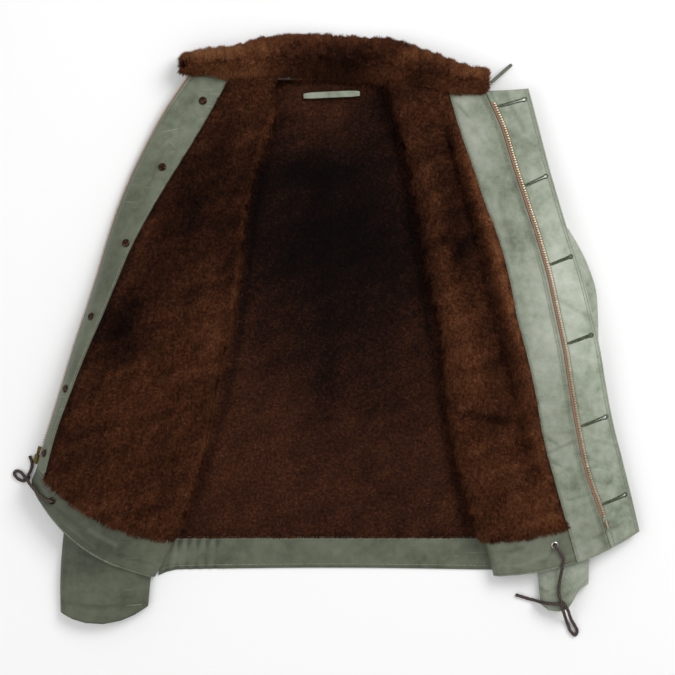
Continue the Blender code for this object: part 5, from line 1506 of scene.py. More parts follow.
marks = linked("leather_scratches", mesh_of(
    "leather_scratches", points, np.array(faces)[:, ::-1], points[:, :2],
    np.tile([0.50, 0.0, 0.5], (len(points), 1))))
finish_piece(marks, hide)

# hem bands of the fronts
for side in ("r", "l"):
    turned = SIGN[side]
    lines = []
    for at in rows_between(BAND_ROW, HEM_ROW, 36):
        row = row_of(side, round(at, 4))
        share = at - BAND_ROW
        start = BAND_STARTS[side][0] * (1 - share) + BAND_STARTS[side][1] * share
        foot = row.across(start, 0.0)
        rise = row.pile_point(0.24).z
        climb = [(0.0, BAND + 0.0012), (0.0002, 0.55 * rise), (0.0030, 0.74 * rise), (0.0070, 0.86 * rise)]
        line = [(foot.x, foot.y, climb[0][1]), (foot.x, foot.y, 0.30 * rise), (foot.x, foot.y, climb[1][1])]
        for reach, height in climb[2:]:
            line.append(tuple(row.across(start + reach, height)))
        line += [tuple(row.pile_point(step)) for step in rows_between(0.24, 1, 70)]
        line += [tuple(row.facing_point(step)) for step in FACING_SHARES[1:]]
        lines.append(line)
    grid = trimmed(np.array(lines), top=BAND_TRIM, end=TRIM)
    # both bands are one hide: the right one's lower shade value is partly painted shade, as it lies away from
    # the light
    band = sewn(f"front_hem_band_{side}", grid, BAND, hide, "leather", (f"hem_band_front_{side}",), side=turned,
                shade={"r": 0.15, "l": 0.22}[side], lines=BAND_LINES)
    declare(grid)

# ---- wind flap and its buttonholes

# A keyhole: a fine slit that widens to a round eye near the flap's edge, as half widths in millimetres
KEYHOLE = (
    (0.0, 0.30), (0.20, 0.35), (0.26, 0.42), (0.45, 0.62), (0.70, 0.86), (0.775, 0.95), (0.785, 1.35),
    (0.80, 1.75), (0.825, 2.0), (0.845, 1.75), (0.862, 1.2), (0.87, 0.55), (1.0, 0.45),
)
hole_rows = [row for row, _ in HOLES]
flap_rows = sorted(set(
    [round(at, 4) for at in rows_between(0, HEM_ROW, 300)
     if all(abs(at - hole) > HOLE_HALF_ROW + 0.012 for hole in hole_rows)]
    + [round(hole + step, 4) for hole in hole_rows for step in (-HOLE_HALF_ROW, HOLE_HALF_ROW)]
))
flap_shares = sorted(set(
    [round(s, 4) for s in rows_between(0, 1, 30) if not 0.765 < s < 0.88]
    + [FLAP_HOLE_START] + [share for share, _ in KEYHOLE if 0.77 < share < 0.88]
))


def keyholed(at, share):
    """A place on the flap, where the two rows beside each hole run along its rim."""
    for hole in hole_rows:
        if abs(abs(at - hole) - HOLE_HALF_ROW) < 1e-3:
            half = float(np.interp(share, *zip(*KEYHOLE))) * 0.001 / ROW_LENGTH
            return on_flap(hole + math.copysign(half, at - hole), share)
    return on_flap(at, share)


flap_grid = grid_from(keyholed, flap_rows, flap_shares)
gaps = np.zeros((len(flap_rows) - 1, len(flap_shares) - 1), bool)
for hole in hole_rows:
    i = flap_rows.index(round(hole - HOLE_HALF_ROW, 4))
    for j, share in enumerate(flap_shares[:-1]):
        gaps[i, j] = FLAP_HOLE_START - 1e-6 <= share < FLAP_HOLE_END - 1e-6
flap_lines = [("end", 0.0022, 0.0014, -0.45), ("end", 0.0058, 0.0012, -0.3), ("end", 0.0, 0.0008, 0.3),
              ("start", 0.0, 0.0012, -0.6), ("start", 0.0078, 0.0012, -0.25), ("foot", 0.0030, 0.0014, -0.4)]
flap = sewn("wind_flap_leather", trimmed(flap_grid, start=TRIM), BAND, hide, "leather", ("wind_flap",),
            shade=0.48, skip=gaps, lines=flap_lines)
declare(flap_grid)


# ---- repeated small things


def model_of(build):
    """A small thing modelled once with Blender's own tools, as its points and faces."""
    bpy.ops.object.select_all(action="DESELECT")
    build()
    thing = bpy.context.view_layer.objects.active
    bpy.ops.object.mode_set(mode="OBJECT")
    bpy.ops.object.transform_apply(location=True, rotation=True, scale=True)
    points = np.array([tuple(v.co) for v in thing.data.vertices])
    faces = [tuple(p.vertices) for p in thing.data.polygons]
    bpy.data.objects.remove(thing, do_unlink=True)
    return points, faces


def pick_faces(test):
    """In edit mode, selects just the faces whose middle and normal pass a test."""
    bpy.ops.object.mode_set(mode="EDIT")
    bpy.ops.mesh.select_mode(type="FACE")
    bpy.ops.mesh.select_all(action="DESELECT")
    bpy.ops.object.mode_set(mode="OBJECT")
    for face in bpy.context.view_layer.objects.active.data.polygons:
        face.select = bool(test(face.center, face.normal))
    bpy.ops.object.mode_set(mode="EDIT")


def repeated(name, model, places):
    """Copies of a model as one mesh. A place is its origin, its X, Y and Z directions and its three scales."""
    points, faces = model
    origin = np.array([place[0] for place in places])
    axes = np.array([[place[1], place[2], place[3]] for place in places], float)
    scale = np.array([place[4] for place in places], float)
    every = np.einsum(
        "nij,nkj->nik", np.broadcast_to(points, (len(places),) + points.shape) * scale[:, None, :],
        np.swapaxes(axes, 1, 2))
    every = (every + origin[:, None, :]).reshape(-1, 3)
    mesh = bpy.data.meshes.new(name)
    all_faces = [tuple(v + k * len(points) for v in face) for k in range(len(places)) for face in faces]
    mesh.from_pydata(every.tolist(), [], all_faces)
    mesh.update()
    return linked(name, mesh)


def plain_stitch():
    """A stitch with few faces: a six-sided bar, 1 long, 1 wide and 1 high, whose ends are drawn in."""
    bpy.ops.mesh.primitive_cylinder_add(vertices=6, radius=0.5, depth=1, rotation=(0, math.pi / 2, 0))
    bpy.ops.object.transform_apply(rotation=True)
    pick_faces(lambda middle, normal: abs(normal.x) > 0.9)
    bpy.ops.mesh.inset(thickness=0.12, depth=0.0)
    bpy.ops.transform.resize(value=(1.25, 0.6, 0.6))


stitch = model_of(plain_stitch)


def run_on(surface, path, lift, pitch, samples):
    """Frames at even pitch along a path of (row, share) pairs on a surface, lifted off it."""
    path = np.array(path, float)
    places = np.linspace(0, len(path) - 1, samples)
    ats = np.interp(places, np.arange(len(path)), path[:, 0])
    shares = np.interp(places, np.arange(len(path)), path[:, 1])
    found = [frame_at(surface, at, share) for at, share in zip(ats, shares)]
    points = np.array([tuple(p + n * lift) for p, n, _ in found])
    normals = np.array([tuple(n) for _, n, _ in found])
    return along_line(points, normals, pitch)


def along_line(points, normals, pitch):
    travelled = np.concatenate([[0], np.linalg.norm(np.diff(points, axis=0), axis=1).cumsum()])
    count = max(1, int(travelled[-1] / pitch))
    at = (np.arange(count) + 0.5) * travelled[-1] / count
    middle = np.stack([np.interp(at, travelled, points[:, i]) for i in range(3)], 1)
    ahead = np.stack([np.interp(at + 1e-4, travelled, points[:, i]) for i in range(3)], 1)
    behind = np.stack([np.interp(at - 1e-4, travelled, points[:, i]) for i in range(3)], 1)
    normal = np.stack([np.interp(at, travelled, normals[:, i]) for i in range(3)], 1)
    x = ahead - behind
    x /= np.maximum(np.linalg.norm(x, axis=1, keepdims=True), 1e-12)
    normal -= x * (normal * x).sum(1, keepdims=True)
    normal /= np.linalg.norm(normal, axis=1, keepdims=True)
    y = np.cross(normal, x)
    return [(m, a, b, c) for m, a, b, c in zip(middle, x, y, normal)]


STITCH_PITCH = 0.0034
STITCH = (0.0027, 0.0007, 0.0006)


def flap_share(at, distance):
    """The share of the flap's width at a distance from its zip line."""
    return distance / row_of("l", round(at, 4)).value["flap"]


def facing_share(side, at, distance, from_zip=True):
    """The share of a facing at a distance in plan from its zip line, or from the fur."""
    width = row_of(side, round(at, 4)).value["facing"]
    steepest = DROOP[side]
    reach = (1 - distance / width) if from_zip else distance / width
    return math.asin(min(max(reach, 0), 1) * math.sin(steepest)) / steepest


THREAD_LIFT = 0.0001  # seams stand this far off their cloth
whole = rows_between(0.03, 11.96, 24)
upper_rows = rows_between(0.03, 10.95, 22)
foot_rows = rows_between(11.12, 11.93, 6)
flap_lift = BAND / 2 + THREAD_LIFT
facing_lift = LEATHER + SEAM_GAP + LEATHER / 2 + THREAD_LIFT
band_facing_lift = facing_lift + (BAND - LEATHER) / 2


def beside_edge(side, rows, distance, from_zip=True):
    return [(at, facing_share(side, at, distance, from_zip)) for at in rows]


# each seam: its surface, its path, its height over the surface's middle and how many places it is read at
SEAMS = (
    (beside_zip, [(at, 1 - flap_share(at, 0.0024)) for at in whole], flap_lift, 400),
    (beside_zip, [(at, 1 - flap_share(at, 0.0060)) for at in whole], flap_lift, 400),
    (beside_zip, [(at, flap_share(at, 0.0080)) for at in whole], flap_lift, 400),
    (on_facing("l"), beside_edge("l", upper_rows, 0.0038), facing_lift, 400),
    (on_facing("l"), beside_edge("l", upper_rows, 0.0070), facing_lift, 400),
    (on_facing("l"), beside_edge("l", upper_rows, 0.0030, False), facing_lift, 400),
    (on_facing("r"), beside_edge("r", upper_rows, 0.0030, False), facing_lift, 400),
    (on_facing("r"), beside_edge("r", upper_rows, 0.0038), facing_lift, 400),
    (on_band("r"), [(11.07, share) for share in rows_between(0.12, 0.985, 12)], flap_lift, 240),
    (on_band("r"), [(11.93, share) for share in rows_between(0.12, 0.985, 12)], flap_lift, 240),
    (on_band("l"), [(11.07, share) for share in rows_between(0.12, 0.535, 12)], flap_lift, 240),
    (on_band("l"), [(11.93, share) for share in rows_between(0.12, 0.535, 12)], flap_lift, 240),
    (on_facing("l"), [(11.93, share) for share in rows_between(0.05, 0.98, 6)], band_facing_lift, 60),
    (on_facing("l"), beside_edge("l", foot_rows, 0.0030, False), band_facing_lift, 60),
)
seams = []
for surface, path, lift, samples in SEAMS:
    seams += run_on(surface, path, lift, STITCH_PITCH, samples)
for line in band_high[[1, -3]]:
    rise = line + np.array([0, 0, 0.0003])
    seams += along_line(rise, np.tile([0, 0, 1.0], (len(line), 1)), STITCH_PITCH)
finish_piece(repeated("seam_stitches", stitch, [place + (STITCH,) for place in seams]), seam_thread)

# buttonholes: thread worked round a keyhole over each slot of the flap
hole_places = []
for hole in hole_rows:
    rim = [(share, half + 0.55) for share, half in KEYHOLE if 0.2 <= share <= 0.87]
    rim = [(0.178, 0.0)] + [(0.186, 0.6)] + rim + [(0.884, 0.9), (0.892, 0.0)]
    outline = rim + [(share, -half) for share, half in rim[-2::-1]]
    lifted, ups = [], []
    for share, half in outline:
        base, up, _ = frame_at(on_flap, hole + half * 0.001 / ROW_LENGTH, share)
        lifted.append(tuple(base + up * flap_lift))
        ups.append(tuple(up))
    for point, x, y, z in along_line(np.array(lifted), np.array(ups), 0.00058):
        hole_places.append((point, y, -x, z, (0.0017, 0.00060, 0.0009)))
    # a bar tack closes the hole's inner end
    for step in rows_between(-0.9, 0.9, 4):
        base, up, down = frame_at(on_flap, hole + step * 0.001 / ROW_LENGTH, 0.176)
        across = down.cross(up)
        hole_places.append((tuple(base + up * (BAND / 2 + 0.0003)), tuple(across), tuple(up.cross(across)),
                            tuple(up), (0.0030, 0.0006, 0.0010)))
finish_piece(repeated("buttonhole_threads", stitch, hole_places), hole_thread)

# ---- zip

tape_rows = rows_between(0, 10.5, 150)
tape_grid = grid_from(on_tape, tape_rows, (0.0, 0.16, 0.32, 0.48, 0.62))
sewn("zip_tape_weave_r", trimmed(tape_grid, start=SEAM_GAP, end=TRIM), TAPE, tape_cotton, "tape",
     ("zip_tape_r",), side=-1, round_edge=False)


def lifted_flap(distances, rows, lift):
    up = Vector((0, 0, lift))
    return np.array([
        [tuple(beside_zip(at, flap_share(at, distance)) + up) for distance in distances] for at in rows
    ])


left_tape_grid = lifted_flap((0.0004, 0.0014, 0.0023, ZIP_SEAM_WIDTH), rows_between(*LEFT_ZIP, 220),
                             BAND / 2 + SEAM_GAP + TAPE / 2 + 0.0002)
sewn("zip_tape_weave_l", left_tape_grid, TAPE, tape_cotton, "tape", ("zip_tape_l",), round_edge=False)


def tooth_model():
    """One tooth: a leg clamped on the tape's edge and a rounded head with a dimple."""
    bpy.ops.mesh.primitive_cube_add(size=1)
    bpy.ops.object.mode_set(mode="EDIT")
    bpy.ops.mesh.select_all(action="SELECT")
    bpy.ops.transform.resize(value=(0.62, 0.55, 1))
    pick_faces(lambda middle, normal: normal.y > 0.9)
    bpy.ops.mesh.extrude_region_move(TRANSFORM_OT_translate={"value": (0, 0.25, 0)})
    bpy.ops.transform.resize(value=(1.55, 1, 0.8))
    bpy.ops.mesh.extrude_region_move(TRANSFORM_OT_translate={"value": (0, 0.2, 0)})
    bpy.ops.transform.resize(value=(0.7, 1, 0.55))


tooth = model_of(tooth_model)
TOOTH_PITCH = 0.0034
TOOTH = (0.0017, CHAIN_WIDTH, CHAIN_HEIGHT)
chain_line_r = np.array([tuple(on_tape(at, 0.80)) for at in rows_between(0.02, 10.48, 220)])
up_r = normals_of(grid_from(on_tape, rows_between(0.02, 10.48, 220), (0.7, 0.8, 0.9)))[:, 1]
up_r = up_r * np.sign(up_r[:, 2:3])
right_teeth = []
for point, x, y, z in along_line(chain_line_r, up_r, TOOTH_PITCH):
    outwards = y if y[0] < 0 else -y
    right_teeth.append((point, np.cross(outwards, z), outwards, z, TOOTH))
finish_piece(repeated("zip_teeth_r", tooth, right_teeth), tooth_brass, ("zip_chain_r",))
chain_line_l = lifted_flap((ZIP_SEAM_WIDTH + CHAIN_WIDTH * 0.45,), rows_between(*LEFT_ZIP, 220),
                           BAND / 2 + SEAM_GAP + CHAIN_HEIGHT / 2 + 0.0002)[:, 0]
left_teeth = []
for point, x, y, z in along_line(chain_line_l, np.tile([0.0, 0.0, 1.0], (len(chain_line_l), 1)), TOOTH_PITCH):
    outwards = y if y[0] > 0 else -y
    left_teeth.append((point, np.cross(outwards, z), outwards, z, TOOTH))
finish_piece(repeated("zip_teeth_l", tooth, left_teeth), tooth_brass, ("zip_chain_l",))

# ---- buttons, studs and eyelets


def turned_piece(name, profile, steps, place, material, stands_for):
    """A round piece spun from a profile of (radius, height) pairs, listed from the middle of its top."""
    mesh = bpy.data.meshes.new(name)
    mesh.from_pydata([(radius, 0, height) for radius, height in profile], [], [])
    mesh.edges.add(len(profile) - 1)
    mesh.edges.foreach_set("vertices", np.array([(i, i + 1) for i in range(len(profile) - 1)]).ravel())
    thing = linked(name, mesh)
    bpy.ops.object.select_all(action="DESELECT")
    thing.select_set(True)
    bpy.context.view_layer.objects.active = thing
    bpy.ops.object.mode_set(mode="EDIT")
    bpy.ops.mesh.select_all(action="SELECT")
    bpy.ops.mesh.spin(steps=steps, angle=2 * math.pi, center=(0, 0, 0), axis=(0, 0, 1))
    bpy.ops.mesh.select_all(action="SELECT")
    bpy.ops.mesh.remove_doubles(threshold=0.00002)
    bpy.ops.mesh.normals_make_consistent(inside=False)
    bpy.ops.object.mode_set(mode="OBJECT")
    thing.data.transform(place)
    for face in thing.data.polygons:
        face.use_smooth = True
    thing.data.set_sharp_from_angle(angle=math.radians(40))
    return finish_piece(thing, material, stands_for)


def frame_on(point, normal, along):
    normal = normal.normalized()
    side = normal.cross(along).normalized()
    forward = side.cross(normal)
    return Matrix.Translation(point) @ Matrix((forward, side, normal)).transposed().to_4x4()


R, H = STUD_RADIUS, STUD_HEIGHT
STUD_PROFILE = (
    (0, 0.80 * H), (0.12 * R, 0.78 * H), (0.20 * R, 0.62 * H), (0.26 * R, 0.60 * H), (0.32 * R, 0.92 * H),
    (0.50 * R, H), (0.72 * R, 0.90 * H), (0.90 * R, 0.62 * H), (R, 0.30 * H), (R, 0.05 * H),
    (0.94 * R, 0), (0, 0),
)
R, H = BUTTON_RADIUS, BUTTON_HEIGHT
BUTTON_PROFILE = (
    (0, 0.72 * H), (0.30 * R, 0.74 * H), (0.58 * R, 0.80 * H), (0.70 * R, 0.98 * H), (0.84 * R, H),
    (0.96 * R, 0.80 * H), (R, 0.50 * H), (R, 0.12 * H), (0.93 * R, 0), (0, 0),
)
for index, (at, across) in enumerate(BUTTON_PLACES):
    point, normal, along = frame_at(on_facing("r"), at, across, 0.05)
    stud_lift = LEATHER / 2 + 2 * SEAM_GAP + LEATHER + 0.0003
    turned_piece(f"stud_{index + 1}", STUD_PROFILE, 28, frame_on(point + normal * stud_lift, normal, along),
                 stud_copper, (f"button_stud_{index + 1}",))
    turned_piece(f"front_button_{index + 1}", BUTTON_PROFILE, 32,
                 frame_on(point - normal * (LEATHER / 2 + BUTTON_SHANK), -normal, along),
                 button_metal, (f"button_{index + 1}",))
R, H = EYELET_RADIUS, EYELET_HEIGHT
EYELET_PROFILE = (
    (EYELET_HOLE, 0.72 * H), (0.68 * R, H), (0.84 * R, 0.92 * H), (R, 0.36 * H), (R, 0), (EYELET_HOLE, 0),
    (EYELET_HOLE, 0.72 * H),
)
for side in ("r", "l"):
    point, normal, along = frame_at(on_band(side), EYELET_ROW[side], EYELET_PLACE[side], 0.05)
    foot = point + normal * (BAND / 2 + EYELET_LIFT)
    turned_piece(f"cord_eyelet_{side}", EYELET_PROFILE, 28, frame_on(foot, normal, along),
                 {"r": button_metal, "l": eyelet_steel}[side], (f"eyelet_{side}",))


# ---- slider, pull tab and pin


def keep_shape(name, place, material, stands_for, body="garment"):
    """The object just modelled: named, its bevels applied, put in place and joined to its body."""
    thing = bpy.context.view_layer.objects.active
    bpy.ops.object.mode_set(mode="OBJECT")
    for modifier in list(thing.modifiers):
        bpy.ops.object.modifier_apply(modifier=modifier.name)
    bpy.ops.object.transform_apply(location=True, rotation=True, scale=True)
    thing.data.transform(place)
    thing.name = name
    thing.data.name = name
    for face in thing.data.polygons:
        face.use_smooth = True
    thing.data.set_sharp_from_angle(angle=math.radians(35))
    return finish_piece(thing, material, stands_for, body)


def with_bevel(width):
    rounding = bpy.context.view_layer.objects.active.modifiers.new("rounding", "BEVEL")
    rounding.width = width
    rounding.segments = 2


def block(size):
    """A cube drawn out to a size, ready to be shaped."""
    bpy.ops.object.select_all(action="DESELECT")
    bpy.ops.mesh.primitive_cube_add(size=1)
    bpy.context.view_layer.objects.active.scale = size
    bpy.ops.object.transform_apply(scale=True)


SLIDER = (0.0125, 0.0080, 0.0040)
BAR = (0.0018, 0.0030, 0.0016)
TAB = (0.0150, 0.0056, 0.0012)
SLIDER_HEIGHT = 0.0055
SLIDER_REACH = 0.0062  # from the facing's edge out to the teeth
LOOP_OFFSET = 0.0030  # the tab's bar lies this far up the slider
slider_row = row_of("r", SLIDER_ROW)
slider_centre = slider_row.placed(slider_row.edge + slider_row.out * SLIDER_REACH, 0.0)
row_above = row_of("r", SLIDER_ROW - 0.5)
slider_along = (
    row_above.placed(row_above.edge + row_above.out * SLIDER_REACH, 0.0) - slider_centre
).normalized()
UP = Vector((0, 0, 1))

block(SLIDER)
# its sides draw in at the foot, where the teeth leave it, and the bridge for the tab stands on top
pick_faces(lambda middle, normal: normal.x < -0.9)
bpy.ops.transform.resize(value=(1, 0.72, 1))
pick_faces(lambda middle, normal: normal.z > 0.9)
bpy.ops.mesh.inset(thickness=0.0022, depth=0)
bpy.ops.transform.resize(value=(0.45, 0.55, 1))
bpy.ops.transform.translate(value=(LOOP_OFFSET, 0, 0))
bpy.ops.mesh.extrude_region_move(TRANSFORM_OT_translate={"value": (0, 0, 0.0012)})
with_bevel(0.0005)
keep_shape("brass_slider", frame_on(slider_centre + UP * SLIDER_HEIGHT, UP, slider_along), slider_brass,
           ("zip_slider",))

bar_centre = (
    slider_centre + UP * (SLIDER_HEIGHT + SLIDER[2] / 2 + BAR[2] / 2 + SEAM_GAP) + slider_along * LOOP_OFFSET
)
tab_centre = bar_centre + slider_along * (TAB[0] / 2 + 0.0004)
block(TAB)
pick_faces(lambda middle, normal: normal.x < -0.9)
bpy.ops.transform.resize(value=(1, 0.62, 1))
pick_faces(lambda middle, normal: normal.z > 0.9)
bpy.ops.mesh.inset(thickness=0.0011, depth=-0.0003)
with_bevel(0.00035)
keep_shape("pull_tab_brass", frame_on(tab_centre, UP, slider_along), slider_brass, ("pull_tab",),
           "pull_tab")

pin_share = (ZIP_SEAM_WIDTH + 0.5 * CHAIN_WIDTH) / row_of("l", PIN_ROW).value["flap"]
point, normal, along = frame_at(beside_zip, PIN_ROW, pin_share, 0.05)
bpy.ops.object.select_all(action="DESELECT")
bpy.ops.mesh.primitive_cylinder_add(vertices=12, radius=0.0012, depth=0.0120, rotation=(0, math.pi / 2, 0))
bpy.ops.object.transform_apply(rotation=True)
pick_faces(lambda middle, normal: abs(normal.x) > 0.9)
bpy.ops.mesh.inset(thickness=0.0004, depth=0)
bpy.ops.transform.resize(value=(1.05, 1, 1))
keep_shape("zip_end_pin", frame_on(point + normal * (BAND / 2 + SEAM_GAP + 0.0016), normal, along), tooth_brass,
           ("zip_pin",))

# ---- sleeves


def section_curve(section, steps):
    """A closed section on a smooth curve, its flat underside kept flat."""
    points = list(section)
    count = len(points)
    found = []
    for index in range(count):
        before, start, end, after = (points[(index + step) % count] for step in (-1, 0, 1, 2))
        for step in range(steps):
            t = step / steps
            if start[1] == 0 and end[1] == 0:
                found.append((start[0] + (end[0] - start[0]) * t, 0.0))
                continue
            pair = []
            for axis in (0, 1):
                p0, p1, p2, p3 = before[axis], start[axis], end[axis], after[axis]
                bend = 2 * p0 - 5 * p1 + 4 * p2 - p3
                twist = 3 * (p1 - p2) + p3 - p0
                pair.append(p1 + t * ((p2 - p0) + t * (bend + t * twist)) / 2)
            found.append((pair[0], min(max(pair[1], 0), 1)))
    return found


SLEEVE_CREASES = (
    # row, place across, how far along in rows, depth in millimetres
    (9.1, 0.30, 0.9, 1.3), (8.2, 0.62, 1.2, 1.1), (9.6, 0.72, 0.5, 0.8), (7.2, 0.45, 1.0, 1.2),
    (6.0, 0.66, 1.4, 1.2),
    (5.0, 0.40, 1.2, 1.3), (4.1, 0.70, 1.0, 1.0), (3.1, 0.55, 1.0, 1.0),
)


SLEEVE_OUTLINE = section_curve(SLEEVE_SECTION, 4)


def sleeve_ring(side, at, inset, base=0.0):
    table = SLEEVES[side]
    at = min(max(at, 0), len(table) - 1)
    value = {name: straight(table, SLEEVE_COLUMNS, name, at) for name in SLEEVE_COLUMNS}
    value["outer_x"] = smooth(table, SLEEVE_COLUMNS, "outer_x", at)
    inner = Vector((value["inner_x"], value["inner_y"]))
    outer = Vector((value["outer_x"], value["outer_y"]))
    width = (outer - inner).length
    ring = []
    for across, up in SLEEVE_OUTLINE:
        share = inset / width + (1 - 2 * inset / width) * across
        bowed = float(np.interp(share, *zip(*CUFF_BOWS[side]))) * value["bow"]
        plan = inner + (outer - inner) * share
        height = base + (value["height"] - 2 * base) * up
        for row, place, reach, depth in SLEEVE_CREASES:
            if up > 0.5:
                gap = ((at - row) / (0.16 + 0.10 * reach)) ** 2 + ((across - place) / 0.34) ** 2
                height -= 0.001 * depth * math.exp(-gap)
        ring.append((SIGN[side] * plan.x - ORIGIN_X, plan.y - bowed - ORIGIN_Y, height))
    return ring


TUBE_CUFF_RING = 150  # the sleeve's ring at the cuff's edge


def tube_mesh(name, rings, shade):
    """A closed tube through rings of points, with a pressed seam by its cuff."""
    rings = np.array(rings)
    count, size = rings.shape[:2]
    here = np.arange(size)
    faces = []
    for i in range(count - 1):
        a, b = i * size + here, i * size + (here + 1) % size
        faces.append(np.stack([a, b, b + size, a + size], 1))
    quads = np.concatenate(faces)
    round_ = np.concatenate([rings, rings[:, :1]], 1)
    u, v = lengths_of(round_)
    uv = np.stack([u[:, :-1], v[:, :-1]], 2).reshape(-1, 2)
    points = rings.reshape(-1, 3)
    wear = np.exp(-np.minimum(v[:, :-1], v[-1:, :-1] - v[:, :-1]) / 0.004).ravel()
    cuff = float(v[TUBE_CUFF_RING, :-1].mean()) if count > TUBE_CUFF_RING else 1.0
    hem = np.exp2(-0.6 * np.exp(-(((v[:, :-1] - cuff + 0.0160) / 0.0013) ** 2))
                  - 0.35 * np.exp(-(((v[:, :-1] - cuff + 0.0125) / 0.0011) ** 2)))
    shades = shade * hem.ravel() * np.exp2(tone_at(points[:, 0], points[:, 1], HIDE_TONE_LIGHT_AND_SHADE))
    tint = np.stack([shades, wear, np.full(len(points), 0.5)], 1)
    ends = [list(range(size - 1, -1, -1)), [(count - 1) * size + j for j in range(size)]]
    thing = linked(name, tinted_mesh(name, points, quads.tolist() + ends, uv, tint))
    bpy.ops.object.select_all(action="DESELECT")
    thing.select_set(True)
    bpy.context.view_layer.objects.active = thing
    bpy.ops.object.mode_set(mode="EDIT")
    bpy.ops.mesh.select_all(action="SELECT")
    bpy.ops.mesh.normals_make_consistent(inside=False)
    bpy.ops.object.mode_set(mode="OBJECT")
    return thing


for side in ("r", "l"):
    last = len(SLEEVES[side]) - 1
    outer_rings = [sleeve_ring(side, at, 0.0) for at in rows_between(0, last, TUBE_CUFF_RING)]
    inner_rings = [sleeve_ring(side, at, LEATHER, LEATHER) for at in rows_between(last, 1, 54)]
    # both sleeves are one hide: the right one's much lower shade value is partly painted shade, as it lies away
    # from the light
    sleeve = tube_mesh(f"sleeve_leather_{side}", outer_rings + inner_rings, {"r": 0.17, "l": 0.46}[side])
    finish_piece(sleeve, hide, (f"sleeve_{side}",))
    grid = np.array(outer_rings)
    grid = np.concatenate([grid, grid[:, :1]], 1)
    declare(grid)
    # the pressed lining fills the cuff, a little inside its edge
    deep = [sleeve_ring(side, at, LEATHER + 0.0004, LEATHER + 0.0003)
            for at in rows_between(last - 0.18, 1.6, 30)]
    fill = tube_mesh(f"sleeve_lining_{side}", deep, 0.5)
    finish_piece(fill, fur)

# ---- collar

collar_stations = rows_between(0, len(COLLAR) - 1, 150)
collar_section = section_curve(COLLAR_SECTION, 5)


def collar_value(name, at):
    return smooth(COLLAR, COLLAR_COLUMNS, name, at)


def collar_point(at, across, up, swell=1.0):
    """A place on the collar's fur. up is a share of the pile, and swell draws it in to the skin."""
    seam, free = collar_value("seam_y", at), collar_value("free_y", at)
    last = len(COLLAR) - 1
    ends = min(at, last - at)
    pile = COLLAR_PILE * np.interp(ends, (0, 1, 2), (COLLAR_END_PILE, 0.9, 1.0))
    lean = max(across, 0.0)
    base = collar_value("lift", at) * (1 - COLLAR_DROOP * lean**1.5) + LEATHER + COLLAR_GAP
    place = 0.5 + (across - 0.5) * swell
    return (collar_value("x", at) - ORIGIN_X, seam + (free - seam) * place - ORIGIN_Y, base + pile * up * swell)


under_grid = []
for at in collar_stations:
    line = []
    for across in rows_between(0, 0.99, 10):
        height = collar_value("lift", at) * (1 - COLLAR_DROOP * across**1.5)
        y = collar_value("seam_y", at) + (collar_value("free_y", at) - collar_value("seam_y", at)) * across
        line.append((collar_value("x", at) - ORIGIN_X, y - ORIGIN_Y, height + LEATHER / 2))
    under_grid.append(line)
under_grid = np.array(under_grid)
under = sewn("under_collar_leather", under_grid, LEATHER, hide, "leather", ("under_collar",), shade=0.4)
declare(under_grid)
collar_skin_grid = under_grid + np.array([0, 0, LEATHER / 2 + 0.0010 + PELT / 2])
collar_skin = sewn("collar_skin", collar_skin_grid, PELT, pelt, "fur", ("collar_fur",))

COLLAR_LOCKS = 120000
HANGING_LOCKS = 36000
collar_chance = np.random.default_rng(14)
rings = np.array([
    [collar_point(at, across, up, 0.74) for across, up in collar_section] for at in collar_stations])
rings[..., 2] += LUMP * wavy(rings[..., 0], rings[..., 1], 0.014, 41)
size = rings.shape[1]
closed_ring = np.concatenate([rings, rings[:, :1]], 1)
p, n, along, _ = scattered(closed_ring, collar_chance, COLLAR_LOCKS, (0, len(collar_stations)), (0, size + 1))
centre = np.stack([p[:, 0], np.interp(p[:, 0], rings[:, :, 0].mean(1), rings[:, :, 1].mean(1)),
                   np.interp(p[:, 0], rings[:, :, 0].mean(1), rings[:, :, 2].mean(1))], 1)
outward = np.sign(((p - centre) * n).sum(1, keepdims=True))
n = n * outward
keep = n[:, 2] > -0.55
p, n, along = p[keep], n[keep], along[keep]
over = np.cross(along, n)
over *= np.sign(over[:, 1:2])
# the hair is parted along the collar: up over its free edge, and down over the neck seam
across = (p[:, 1] - np.interp(p[:, 0], rings[:, :, 0].mean(1), rings[:, :, 1].min(1))) / np.interp(
    p[:, 0], rings[:, :, 0].mean(1), np.ptp(rings[:, :, 1], axis=1))
parted = across - 0.30 + 0.10 * wavy(p[:, 0], p[:, 1], 0.020, 43) + collar_chance.normal(0, 0.17, len(p))
parted = np.clip(parted / 0.22, -1, 1)
way = (over * 0.55 + np.array([0, 0.25, 0])) * parted[:, None]
way += along * 0.5 * wavy(p[:, 0], p[:, 1], 0.020, 44)[:, None]
way -= n * (way * n).sum(1, keepdims=True)
way /= np.linalg.norm(way, axis=1, keepdims=True)
clump = wavy(p[:, 0], p[:, 1] + p[:, 2], 0.010, 45)
reach = 0.0100 * (1 + 0.20 * clump)
lean = (0.72 - 0.20 * clump) * (0.35 + 0.65 * np.abs(parted))
station = collar_chance.uniform(0.5, len(COLLAR) - 1.5, HANGING_LOCKS)
brim = np.array([collar_point(at, 0.02 + 0.34 * k, 0.30 + 0.70 * min(1.0, 2 * k), 0.76) for at, k in
                 zip(station, collar_chance.random(HANGING_LOCKS))])
p = np.concatenate([p, brim])
n = np.concatenate([n, np.tile([0.0, -0.50, 0.866], (HANGING_LOCKS, 1))])
way = np.concatenate([way, np.tile([0.0, -0.866, -0.50], (HANGING_LOCKS, 1))])
hang = 0.0186 * (1 + 0.20 * wavy(brim[:, 0], brim[:, 1], 0.009, 47))
